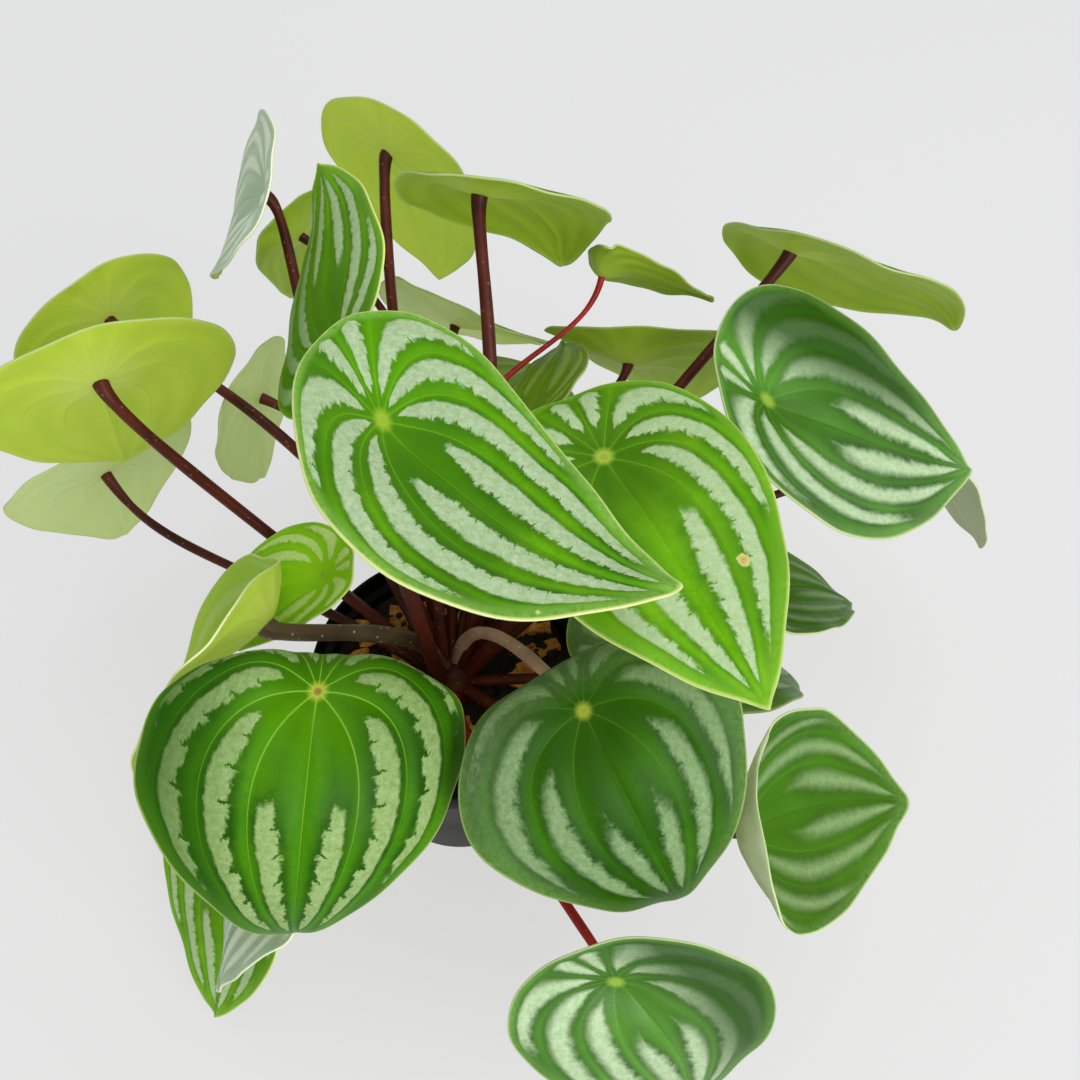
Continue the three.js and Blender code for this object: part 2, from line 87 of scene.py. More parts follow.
# Shared start of both blade materials: how far round and out a point lies on its blade.
# lane counts the main veins from the midrib (0) round to the heel (5), whole at each vein.
def bladeLanes(tree):
    flat = addNode(tree, "UVMap", uv_map="flat")
    along, side = addNode(tree, "SeparateXYZ", [flat]).outputs[:2]
    across = addNode(tree, "Math", [side], operation="ABSOLUTE")
    toTip = addNode(tree, "Math", [1.0, along], operation="SUBTRACT")
    jointAngle = addNode(tree, "Math", [across, along], operation="ARCTAN2")
    tipAngle = addNode(tree, "Math", [across, toTip], operation="ARCTAN2")
    bothAngles = addNode(tree, "Math", [jointAngle, tipAngle], operation="ADD")
    turned = addNode(tree, "Math", [bothAngles, 1 / math.pi], operation="MULTIPLY")
    share = addNode(tree, "UVMap", uv_map="share")
    rimShare, seed = addNode(tree, "SeparateXYZ", [share]).outputs[:2]
    # near the rim the veins turn and run along it toward the tip
    room = addNode(tree, "Math", [veinPlan["rimFollowEnd"], turned], operation="SUBTRACT", use_clamp=True)
    nearRim = addNode(tree, "Math", [rimShare, 3.0], operation="POWER")
    follow = addNode(tree, "Math", [room, nearRim], operation="MULTIPLY")
    followTurned = addNode(tree, "Math", [follow, turned], operation="MULTIPLY")
    turned = addNode(tree, "Math", [followTurned, veinPlan["rimFollow"], turned], operation="MULTIPLY_ADD")
    cubed = addNode(tree, "Math", [turned, 3.0], operation="POWER")
    heelPart = addNode(tree, "Math", [cubed, veinPlan["heelLanes"]], operation="MULTIPLY")
    straight = addNode(tree, "Math", [turned, veinPlan["frontLanes"], heelPart], operation="MULTIPLY_ADD")
    # each blade wanders its own way, by its own number in the share map
    wanderPlace = addNode(tree, "CombineXYZ", [along, side, seed])
    wanderNoise = addNode(tree, "TexNoise", {"Vector": wanderPlace, "Detail": 2.0,
                                             "Scale": veinPlan["wanderScale"]})
    centred = addNode(tree, "Math", [wanderNoise, 0.5], operation="SUBTRACT")
    # no wander on the midrib itself
    held = addNode(tree, "MapRange", [straight, 0.0, 0.8, 0.0, veinPlan["wander"]])
    lane = addNode(tree, "Math", [centred, held, straight], operation="MULTIPLY_ADD")
    distance = addNode(tree, "VectorMath", [flat], operation="LENGTH").outputs["Value"]
    return {"flat": flat, "side": side, "lane": lane, "straight": straight, "distance": distance,
            "rimShare": rimShare, "seed": seed}


# How far across its lane a point lies: -0.5 at the vein nearer the midrib, 0.5 at the next one
def acrossLane(tree, lane, shift):
    phase = addNode(tree, "Math", [lane], operation="FRACT")
    return addNode(tree, "Math", [phase, 0.5 + shift], operation="SUBTRACT")


# Share of a vein's pale line at a point: of even width in millimetres, and fading toward the rim
def veinLineShare(tree, place, strength, halfWidth):
    signed = acrossLane(tree, place["straight"], 0)
    fromMiddle = addNode(tree, "Math", [signed], operation="ABSOLUTE")
    fromVein = addNode(tree, "Math", [0.5, fromMiddle], operation="SUBTRACT")
    lineHalf = addNode(tree, "Math", [halfWidth, place["distance"]], operation="DIVIDE")
    line = addNode(tree, "MapRange", [fromVein, 0.0, lineHalf, strength, 0.0], **smooth)
    fade = addNode(tree, "MapRange", [place["rimShare"], 0.3, 0.95, 1.0, 0.15])
    return addNode(tree, "Math", [line, fade], operation="MULTIPLY")


# Silver bands: how much of the silver shows at a point, how far it lies from its band's middle, and the
# band's width there
def silverBands(tree, place, look):
    distance, lane, rimShare = place["distance"], place["lane"], place["rimShare"]
    signed = acrossLane(tree, lane, look["bandShift"])
    halfOff = addNode(tree, "Math", [signed], operation="ABSOLUTE")
    off = addNode(tree, "Math", [halfOff, 2.0], operation="MULTIPLY")
    inside = addNode(tree, "MapRange", [signed, -0.12, 0.12, 1.0, 0.0], **smooth)
    # ragged edge, finer than the band and slanted the way the side veins run
    slants = []
    for outward, sideways in ((16.0, 4.0), (34.0, -2.4)):
        stretched = addNode(tree, "Math", [distance, outward], operation="MULTIPLY")
        slants.append(addNode(tree, "Math", [lane, sideways, stretched], operation="MULTIPLY_ADD"))
    raggedPlace = addNode(tree, "CombineXYZ", slants + [place["seed"]])
    raggedNoise = addNode(tree, "TexNoise", {"Vector": raggedPlace, "Scale": 1.0, "Detail": 6.0,
                                             "Roughness": 0.7})
    ragged = addNode(tree, "MapRange", [raggedNoise, 0.25, 0.75, -look["ragged"], look["ragged"]])
    calmer = addNode(tree, "MapRange", [inside, 0.0, 1.0, 0.55, 1.0])
    shifted = addNode(tree, "Math", [ragged, calmer, off], operation="MULTIPLY_ADD")
    # barbs on the side that faces the midrib, each cut free by a dark side vein that slants outward
    toothA = addNode(tree, "Math", [distance, look["barbs"]], operation="MULTIPLY")
    toothB = addNode(tree, "Math", [lane, -1.1, toothA], operation="MULTIPLY_ADD")
    toothC = addNode(tree, "Math", [raggedNoise, 0.7, toothB], operation="MULTIPLY_ADD")
    tooth = addNode(tree, "Math", [toothC], operation="FRACT")
    toothSide = addNode(tree, "Math", [tooth, inside], operation="MULTIPLY")
    barbed = addNode(tree, "Math", [toothSide, look["barbDepth"], shifted], operation="MULTIPLY_ADD")
    cut = addNode(tree, "MapRange", [tooth, 0.88, 0.97, 0.0, look["cuts"]])
    cutSide = addNode(tree, "Math", [cut, inside, barbed], operation="MULTIPLY_ADD")
    # a band opens some way out from the stalk, later beside the midrib and in the heel than at the sides
    frontStart = addNode(tree, "MapRange", [lane, 0.4, 1.7, look["innerStart"], look["outerStart"]],
                         **smooth)
    heelStart = addNode(tree, "MapRange", [lane, 2.8, 3.8, 0.0, look["heelStart"]])
    start = addNode(tree, "Math", [frontStart, heelStart], operation="ADD")
    full = addNode(tree, "Math", [start, look["bandRamp"]], operation="ADD")
    opening = addNode(tree, "MapRange", [rimShare, start, full, -0.3, look["bandWidth"]], **smooth)
    # and closes short of the rim
    closing = addNode(tree, "MapRange", [rimShare, look["bandEnd"], 0.98, 0.0, -look["bandWidth"] - 0.3],
                      **smooth)
    width = addNode(tree, "Math", [opening, closing], operation="ADD")
    inner = addNode(tree, "Math", [width, look["softness"]], operation="SUBTRACT")
    outer = addNode(tree, "Math", [width, look["softness"]], operation="ADD")
    silver = addNode(tree, "MapRange", [cutSide, inner, outer, 1.0, 0.0], **smooth)
    return silver, off, width


# Living leaf, upper side: a waxy cuticle over green tissue. Air under the skin between the veins turns the
# bands silver, so they are paler and a little duller than the glossy dark green beside them.
def bladeTopMaterial(name, look):
    material, tree = newMaterial("peperomiaUpper_" + name)
    place = bladeLanes(tree)
    distance, rimShare = place["distance"], place["rimShare"]
    silver, off, width = silverBands(tree, place, look)
    tissuePlace = addNode(tree, "TexCoord").outputs["Object"]
    tissue = addNode(tree, "TexNoise", {"Vector": tissuePlace, "Scale": 1 / (14 * mm), "Detail": 7.0,
                                        "Roughness": 0.65})
    # mottling in spots about 2 mm across, which the green and the silver share
    cloud = addNode(tree, "TexNoise", {"Vector": tissuePlace, "Scale": 1 / (1.7 * mm), "Detail": 8.0,
                                       "Roughness": 0.8})
    cloudShare = addNode(tree, "MapRange", [cloud, 0.36, 0.66, 0.0, 1.0])
    # darker stretches 40 mm across
    stretch = addNode(tree, "TexNoise", {"Vector": tissuePlace, "Scale": 1 / (42 * mm), "Detail": 1.0})
    # green between the bands: darkest beside the silver, brighter toward the vein, with a tone of its own
    # over and around the stalk
    green = linear(look["deep"])
    for share, tone in (
            (addNode(tree, "MapRange", [off, width, 1.0, 0.0, 1.0], **smooth), "mid"),
            (addNode(tree, "MapRange", [tissue, 0.42, 0.72, 0.0, 0.5]), "bright"),
            (addNode(tree, "Math", [cloudShare, look["grain"]], operation="MULTIPLY"), "deep"),
            (addNode(tree, "MapRange", [distance, 0.05, 0.5, 0.75, 0.0], **smooth), "core"),
            (addNode(tree, "MapRange", [stretch, 0.4, 0.65, 0.0, 0.6], **smooth), "deep"),
            (veinLineShare(tree, place, look["veinLine"], veinPlan["lineShare"]), "vein")):
        green = addNode(tree, "Mix", {0: share, 6: green, 7: linear(look[tone])}, **inColour).outputs[2]
    # fine net of veinlets inside the silver, its cells 1.1 mm across
    net = addNode(tree, "TexVoronoi", {"Vector": tissuePlace, "Scale": 1 / (1.1 * mm)},
                  feature="DISTANCE_TO_EDGE")
    netShare = addNode(tree, "MapRange", [net, 0.0, 0.14, look["net"], 0.0])
    silverBase = addNode(tree, "Mix", {0: cloudShare, 6: linear(look["silver"]),
                                       7: linear(look["silverDeep"])}, **inColour).outputs[2]
    silverTone = addNode(tree, "Mix", {0: netShare, 6: silverBase, 7: linear(look["mid"])},
                         **inColour).outputs[2]
    colour = addNode(tree, "Mix", {0: silver, 6: green, 7: silverTone}, **inColour).outputs[2]
    if "heelSheenPainted" in look:
        # painted sheen: the pale silver colour spread thinly over the whole heel, away from the stalk,
        # as a soft reflection of a broad light on the curved heel
        sheenLane = addNode(tree, "MapRange", [place["lane"], 2.0, 3.2, 0.0, look["heelSheenPainted"]])
        sheenOut = addNode(tree, "MapRange", [rimShare, 0.2, 0.6, 0.0, 1.0])
        sheenShare = addNode(tree, "Math", [sheenLane, sheenOut], operation="MULTIPLY")
        colour = addNode(tree, "Mix", {0: sheenShare, 6: colour, 7: silverBase}, **inColour).outputs[2]
    # painted shade: one side of some blades is made darker, where it turns away from the light;
    # then the mottled margin, the thin pale rim, and a yellow spot over the stalk with a brown speck in it
    marginEdge = addNode(tree, "Math", [cloud, 0.14, rimShare], operation="MULTIPLY_ADD")
    marginTone = addNode(tree, "Mix", {0: cloudShare, 6: linear(look["margin"]), 7: linear(look["mid"])},
                         **inColour).outputs[2]
    for share, tone in (
            (addNode(tree, "MapRange", [place["side"], look["paintedShadeFrom"], look["paintedShadeTo"], 0.0,
                                        look["paintedShadeShare"]]), linear(look["deep"])),
            (addNode(tree, "MapRange", [marginEdge, 0.95, 1.05, 0.0, look["marginShare"]], **smooth),
             marginTone),
            (addNode(tree, "MapRange", [rimShare, 0.98, 0.997, 0.0, 0.9]), linear(look["rim"])),
            (addNode(tree, "MapRange", [distance, 0.01, 0.05, 0.8, 0.0], **smooth), linear(look["spot"])),
            (addNode(tree, "MapRange", [distance, 0.01, 0.02, look["speck"], 0.0]), linear("#8A6A3A"))):
        colour = addNode(tree, "Mix", {0: share, 6: colour, 7: tone}, **inColour).outputs[2]
    if "scar" in look:
        # a healed nick 2 or 3 mm across: a pale edge round dry tan skin, with a brown speck in it
        scarNoise = addNode(tree, "TexNoise", {"Vector": place["flat"], "Scale": 40.0})
        fromScar = addNode(tree, "VectorMath", [place["flat"], look["scar"]],
                           operation="DISTANCE").outputs["Value"]
        scarEdge = addNode(tree, "Math", [scarNoise, 0.03, fromScar], operation="MULTIPLY_ADD")
        for share, tone in ((1.0, "#D2CC86"), (0.75, "#CCA26A"), (0.4, "#80502C")):
            reach = share * look["scarReach"]
            scarShare = addNode(tree, "MapRange", [scarEdge, reach - 0.003, reach + 0.003, 0.9, 0.0])
            colour = addNode(tree, "Mix", {0: scarShare, 6: colour, 7: linear(tone)}, **inColour).outputs[2]
    gloss = addNode(tree, "MapRange", [silver, 0.0, 1.0, look["gloss"], look["gloss"] + 0.1])
    heights = addNode(tree, "Math", [net, 0.6, tissue], operation="MULTIPLY_ADD")
    bump = addNode(tree, "Bump", {"Strength": 0.25, "Distance": 0.5 * mm, "Height": heights})
    skin = addNode(tree, "BsdfPrincipled", {"Base Color": colour, "Roughness": gloss, "IOR": 1.4,
                                            "Specular IOR Level": look["sheen"], "Normal": bump})
    # part of the light goes through the flesh and comes out green on the other side
    through = addNode(tree, "BsdfTranslucent", {"Color": linear("#D4EC58"), "Normal": bump})
    shader = addNode(tree, "MixShader", [look["through"], skin, through])
    addNode(tree, "OutputMaterial", {"Surface": shader})
    return material


# Living leaf, under side: no silver, a matter pale lime skin with the main veins just showing.
def bladeUnderMaterial(name, look):
    material, tree = newMaterial("peperomiaUnder_" + name)
    place = bladeLanes(tree)
    signed = acrossLane(tree, place["straight"], 0)
    halfOff = addNode(tree, "Math", [signed], operation="ABSOLUTE")
    tissuePlace = addNode(tree, "TexCoord").outputs["Object"]
    tissue = addNode(tree, "TexNoise", {"Vector": tissuePlace, "Scale": 1 / (22 * mm), "Detail": 6.0,
                                        "Roughness": 0.6})
    # the flesh between two veins is darker than the flesh beside them
    between = addNode(tree, "MapRange", [halfOff, 0.0, 0.4, 0.45, 0.0], **smooth)
    outward = addNode(tree, "MapRange", [place["rimShare"], 0.15, 0.5, 0.0, 1.0])
    colour = linear(look["base"])
    for share, tone in (
            (addNode(tree, "MapRange", [tissue, 0.4, 0.7, 0.0, 0.5]), "shade"),
            (addNode(tree, "Math", [between, outward], operation="MULTIPLY"), "shade"),
            (veinLineShare(tree, place, 0.55, veinPlan["lineShare"] * 1.3), "vein"),
            (addNode(tree, "MapRange", [place["distance"], 0.03, 0.3, 0.65, 0.0], **smooth), "halo"),
            (addNode(tree, "MapRange", [place["rimShare"], 0.96, 0.99, 0.0, 0.5]), "rim")):
        colour = addNode(tree, "Mix", {0: share, 6: colour, 7: linear(look[tone])}, **inColour).outputs[2]
    bump = addNode(tree, "Bump", {"Strength": 0.2, "Distance": 0.4 * mm, "Height": tissue})
    skin = addNode(tree, "BsdfPrincipled", {"Base Color": colour, "Roughness": look["gloss"], "IOR": 1.38,
                                            "Specular IOR Level": 0.3, "Normal": bump})
    glow = addNode(tree, "Mix", {0: 0.5, 6: colour, 7: linear("#FFFFFF")}, **inColour).outputs[2]
    through = addNode(tree, "BsdfTranslucent", {"Color": glow, "Normal": bump})
    shader = addNode(tree, "MixShader", [look["through"], skin, through])
    addNode(tree, "OutputMaterial", {"Surface": shader})
    return material


# Leaf rim: the thickened edge has no green in its outer cells and looks pale cream.
def bladeRimMaterial(name, colour):
    material, tree = newMaterial("peperomiaRim_" + name)
    shader = addNode(tree, "BsdfPrincipled", {"Base Color": linear(colour), "Roughness": 0.45, "IOR": 1.4})
    addNode(tree, "OutputMaterial", {"Surface": shader})
    return material


# Leaf stalk: smooth fleshy skin, dark red, with small raised pale pores about 3 mm apart.
def stalkMaterial(name, look):
    material, tree = newMaterial("peperomiaStalk_" + name)
    place = addNode(tree, "TexCoord").outputs["Object"]
    cloud = addNode(tree, "TexNoise", {"Vector": place, "Scale": 1 / (17 * mm), "Detail": 5.0})
    pores = addNode(tree, "TexVoronoi", {"Vector": place, "Scale": 1 / (2.6 * mm)})
    poreMask = addNode(tree, "MapRange", [pores, 0.10, 0.17, look["poreShare"], 0.0])
    colour = linear(look["skin"])
    for share, tone in ((addNode(tree, "MapRange", [cloud, 0.35, 0.68, 0.0, 1.0]), "shade"),
                        (poreMask, "pore")):
        colour = addNode(tree, "Mix", {0: share, 6: colour, 7: linear(look[tone])}, **inColour).outputs[2]
    bump = addNode(tree, "Bump", {"Strength": 0.3, "Distance": 0.3 * mm, "Height": poreMask})
    shader = addNode(tree, "BsdfPrincipled", {"Base Color": colour, "Roughness": 0.42, "IOR": 1.42,
                                              "Specular IOR Level": 0.25, "Normal": bump})
    addNode(tree, "OutputMaterial", {"Surface": shader})
    return material


# Black polypropylene, injection moulded: nearly black, satin, with a faint mould grain.
def potPlasticMaterial():
    material, tree = newMaterial("mouldedBlackPolypropylene")
    place = addNode(tree, "TexCoord").outputs["Object"]
    grain = addNode(tree, "TexNoise", {"Vector": place, "Scale": 1 / (1.1 * mm), "Detail": 2.0})
    dust = addNode(tree, "TexNoise", {"Vector": place, "Scale": 1 / (22 * mm), "Detail": 6.0})
    dustShare = addNode(tree, "MapRange", [dust, 0.5, 0.8, 0.0, 0.35])
    colour = addNode(tree, "Mix", {0: dustShare, 6: linear("#0A0A0A"), 7: linear("#24201C")},
                     **inColour).outputs[2]
    bump = addNode(tree, "Bump", {"Strength": 0.12, "Distance": 0.2 * mm, "Height": grain})
    shader = addNode(tree, "BsdfPrincipled", {"Base Color": colour, "Roughness": 0.5, "IOR": 1.49,
                                              "Specular IOR Level": 0.12, "Normal": bump})
    addNode(tree, "OutputMaterial", {"Surface": shader})
    return material


# Moist peat compost: very dark brown and dull, in crumbs of 2 or 3 mm.
def compostMaterial():
    material, tree = newMaterial("moistPeatCompost")
    place = addNode(tree, "TexCoord").outputs["Object"]
    crumbs = addNode(tree, "TexNoise", {"Vector": place, "Scale": 1 / (2.4 * mm), "Detail": 8.0,
                                        "Roughness": 0.7})
    share = addNode(tree, "MapRange", [crumbs, 0.4, 0.7, 0.0, 1.0])
    colour = addNode(tree, "Mix", {0: share, 6: linear("#0E0A07"), 7: linear("#33231A")},
                     **inColour).outputs[2]
    bump = addNode(tree, "Bump", {"Strength": 0.9, "Distance": 1.2 * mm, "Height": crumbs})
    shader = addNode(tree, "BsdfPrincipled", {"Base Color": colour, "Roughness": 0.9, "Normal": bump})
    addNode(tree, "OutputMaterial", {"Surface": shader})
    return material


# Composted pine bark: dull, corky, orange-brown with darker patches about 4 mm across.
def barkMaterial():
    material, tree = newMaterial("compostedPineBark")
    place = addNode(tree, "TexCoord").outputs["Object"]
    layers = addNode(tree, "TexNoise", {"Vector": place, "Scale": 1 / (3.8 * mm), "Detail": 8.0,
                                        "Roughness": 0.7})
    share = addNode(tree, "MapRange", [layers, 0.38, 0.66, 0.0, 1.0])
    colour = addNode(tree, "Mix", {0: share, 6: linear("#9A5620"), 7: linear("#F0A452")},
                     **inColour).outputs[2]
    bump = addNode(tree, "Bump", {"Strength": 0.8, "Distance": 0.8 * mm, "Height": layers})
    shader = addNode(tree, "BsdfPrincipled", {"Base Color": colour, "Roughness": 0.85, "Normal": bump})
    addNode(tree, "OutputMaterial", {"Surface": shader})
    return material


# Opal acrylic top of a light table: pale, matt and lit from below, so the ground stays light under the plant.
def tableMaterial():
    material, tree = newMaterial("opalLightTable")
    shader = addNode(tree, "BsdfPrincipled", {
        "Base Color": linear("#6E6E6E"), "Roughness": 0.9, "Specular IOR Level": 0.1,
        "Emission Color": linear("#FFFFFF"), "Emission Strength": 0.6})
    addNode(tree, "OutputMaterial", {"Surface": shader})
    return material


# Small modelling helpers

def deselectAll():
    bpy.ops.object.select_all(action="DESELECT")


def makeActive(piece):
    deselectAll()
    piece.select_set(True)
    bpy.context.view_layer.objects.active = piece


def applyModifiers(piece):
    makeActive(piece)
    for modifier in list(piece.modifiers):
        bpy.ops.object.modifier_apply(modifier=modifier.name)


def copyOf(piece, name):
    twin = piece.copy()
    twin.data = piece.data.copy()
    twin.name = name
    twin.data.name = name
    scene.collection.objects.link(twin)
    return twin


def joinAll(pieces, name):
    makeActive(pieces[0])
    for piece in pieces:
        piece.select_set(True)
    bpy.ops.object.join()
    joined = bpy.context.object
    joined.name = name
    joined.data.name = name
    return joined


# A round shell that starts as a disc and is drawn up ring by ring along the given radii and heights
def addTurned(name, rings, sides):
    deselectAll()
    radius, height = rings[0]
    bpy.ops.mesh.primitive_circle_add(vertices=sides, radius=radius * mm, fill_type="NGON",
                                      location=(0, 0, height * mm))
    piece = bpy.context.object
    piece.name = name
    bpy.ops.object.transform_apply(location=True, rotation=True, scale=True)
    bpy.ops.object.mode_set(mode="EDIT")
    bpy.ops.mesh.select_all(action="SELECT")
    for nextRadius, nextHeight in rings[1:]:
        rise = (nextHeight - height) * mm
        bpy.ops.mesh.extrude_region_move(TRANSFORM_OT_translate={"value": (0, 0, rise)})
        scale = nextRadius / radius
        bpy.ops.transform.resize(value=(scale, scale, 1), center_override=(0, 0, nextHeight * mm))
        radius, height = nextRadius, nextHeight
    bpy.ops.mesh.select_all(action="SELECT")
    bpy.ops.mesh.normals_make_consistent(inside=False)
    bpy.ops.object.mode_set(mode="OBJECT")
    return piece


# Pot

pot = dict(
    height=80, baseRadius=32, shoulderRadius=43.6, lipRadius=46, lipDepth=8,
    wall=1.5, floor=2, holes=6, holeRadius=3, holeCircle=22, sides=128,
)


def potInside(height):
    share = height / (pot["height"] - pot["lipDepth"])
    return pot["baseRadius"] + (pot["shoulderRadius"] - pot["baseRadius"]) * share - pot["wall"]


def addPot():
    shoulder = pot["height"] - pot["lipDepth"]
    top, lip, wall = pot["height"], pot["lipRadius"], pot["wall"]
    rings = [
        (28, 0.6), (28.4, 0.1), (28.9, 0), (pot["baseRadius"] - 1, 0), (pot["baseRadius"] - 0.3, 0.3),
        (pot["baseRadius"], 1), (37.7, 36), (pot["shoulderRadius"], shoulder - 1),
        (pot["shoulderRadius"] + 0.5, shoulder - 0.4), (lip - 0.5, shoulder - 0.3),
        (lip - 0.1, shoulder + 0.1), (lip, shoulder + 0.6), (lip, top - 0.7), (lip - 0.2, top - 0.2),
        (lip - 0.6, top), (lip - wall + 0.4, top), (lip - wall, top - 0.4), (lip - wall, shoulder + 1),
        (potInside(shoulder), shoulder), (potInside(36), 36), (potInside(3), 3), (potInside(2) - 1, 2),
    ]
    piece = addTurned("nursery_pot", rings, pot["sides"])
    cutters = []
    for i in range(pot["holes"]):
        angle = 2 * math.pi * i / pot["holes"]
        bpy.ops.mesh.primitive_cylinder_add(
            vertices=24, radius=pot["holeRadius"] * mm, depth=8 * mm,
            location=(pot["holeCircle"] * mm * math.cos(angle), pot["holeCircle"] * mm * math.sin(angle), 0))
        cutters.append(bpy.context.object)
    cutter = joinAll(cutters, "drainCutter")
    cut = piece.modifiers.new("drain", "BOOLEAN")
    cut.operation = "DIFFERENCE"
    cut.solver = "EXACT"
    cut.object = cutter
    applyModifiers(piece)
    bpy.data.objects.remove(cutter)
    makeActive(piece)
    bpy.ops.object.shade_smooth_by_angle(angle=math.radians(35))
    piece.data.materials.append(potPlasticMaterial())
    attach(piece, "root")
    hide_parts("pot")
    return piece


# Potting mix

mix = dict(
    top=69, clearance=0.3, rings=12, unevenness=1.2, sides=96,
    wallStops=(36, 66), rimDrop=0.6,
    crumbs=260, crumbSize=(1.0, 2.3), crumbRoughness=0.35,
    chips=72, chipSize=(12, 7, 2.8), chipShare=(0.45, 1.0), chipRoughness=1.1,
    clearOfCrown=13, clearOfWall=5, lean=0.7, lift=0.3,
)


def spread(i, salt):
    # a repeatable number from 0 to 1 for piece i
    return (math.sin(i * 12.9898 + salt * 78.233) * 43758.5453) % 1


def mixHeight(x, y):
    rise = noise.noise(Vector((x * 0.09, y * 0.09, 2))) + 0.5 * noise.noise(Vector((x * 0.3, y * 0.3, 7)))
    return mix["top"] + mix["unevenness"] * rise


def addMixBody():
    low = pot["floor"] + mix["clearance"]
    rings = [(potInside(height) - mix["clearance"], height) for height in (low,) + mix["wallStops"]]
    rings.append((potInside(mix["top"]) - mix["clearance"], mix["top"] - mix["rimDrop"]))
    piece = addTurned("potting_mix_body", rings, mix["sides"])
    topRadius = rings[-1][0]
    bpy.ops.object.mode_set(mode="EDIT")
    bpy.ops.mesh.select_mode(type="FACE")
    bpy.ops.mesh.select_all(action="DESELECT")
    bpy.ops.object.mode_set(mode="OBJECT")
    for face in piece.data.polygons:
        face.select = face.normal.z > 0.9
    bpy.ops.object.mode_set(mode="EDIT")
    for i in range(mix["rings"] - 1):
        bpy.ops.mesh.inset(thickness=topRadius / mix["rings"] * mm, depth=0)
    bpy.ops.mesh.poke()
    bpy.ops.object.mode_set(mode="OBJECT")
    for vertex in piece.data.vertices:
        x, y = vertex.co.x / mm, vertex.co.y / mm
        if vertex.co.z > (mix["top"] - 1) * mm and math.hypot(x, y) < topRadius - 1:
            vertex.co.z = mixHeight(x, y) * mm
    return piece


def scatter(original, count, salt, sizes):
    copies = []
    limit = potInside(mix["top"]) - mix["clearOfWall"]
    goldenAngle = 2.39996
    for i in range(count):
        angle = i * goldenAngle + spread(i, salt)
        radius = mix["clearOfCrown"] + (limit - mix["clearOfCrown"]) * math.sqrt(spread(i, salt + 1))
        x, y = radius * math.cos(angle), radius * math.sin(angle)
        size = sizes[0] + (sizes[1] - sizes[0]) * spread(i, salt + 2)
        tilt = Euler((mix["lean"] * (spread(i, salt + 3) - 0.5), mix["lean"] * (spread(i, salt + 4) - 0.5),
                      6.28 * spread(i, salt + 5)))
        place = Matrix.Translation(Vector((x, y, mixHeight(x, y) + mix["lift"])) * mm)
        twin = copyOf(original, f"grain_{salt}_{i}")
        twin.data.transform(place @ tilt.to_matrix().to_4x4() @ Matrix.Scale(size, 4))
        copies.append(twin)
    return copies


# Without a seed this noise, and so every roughened shape, would come out differently in each run
noise.seed_set(1)


def roughen(piece, amount, scale):
    for vertex in piece.data.vertices:
        vertex.co += noise.noise_vector(vertex.co * scale) * amount


def addPottingMix():
    body = addMixBody()
    body.data.materials.append(compostMaterial())
    deselectAll()
    bpy.ops.mesh.primitive_ico_sphere_add(subdivisions=2, radius=1 * mm)
    crumb = bpy.context.object
    bpy.ops.object.mode_set(mode="EDIT")
    bpy.ops.transform.resize(value=(1.15, 0.9, 0.7))
    bpy.ops.object.mode_set(mode="OBJECT")
    roughen(crumb, mix["crumbRoughness"] * mm, 900)
    crumb.data.materials.append(body.data.materials[0])
    deselectAll()
    bpy.ops.mesh.primitive_cube_add(size=1)
    chip = bpy.context.object
    bpy.ops.object.mode_set(mode="EDIT")
    bpy.ops.transform.resize(value=[side * mm for side in mix["chipSize"]])
    bpy.ops.mesh.subdivide(number_cuts=3)
    bpy.ops.object.mode_set(mode="OBJECT")
    roughen(chip, mix["chipRoughness"] * mm, 260)
    bevel = chip.modifiers.new("edges", "BEVEL")
    bevel.width = 0.35 * mm
    bevel.segments = 1
    bevel.limit_method = "ANGLE"
    applyModifiers(chip)
    chip.data.materials.append(barkMaterial())
    grains = scatter(crumb, mix["crumbs"], 3, mix["crumbSize"])
    chips = scatter(chip, mix["chips"], 11, mix["chipShare"])
    for original in (crumb, chip):
        bpy.data.objects.remove(original)
    piece = joinAll([body] + grains + chips, "peat_and_bark")
    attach(piece, "root")
    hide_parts("potting_mix")
    return piece


# Leaves

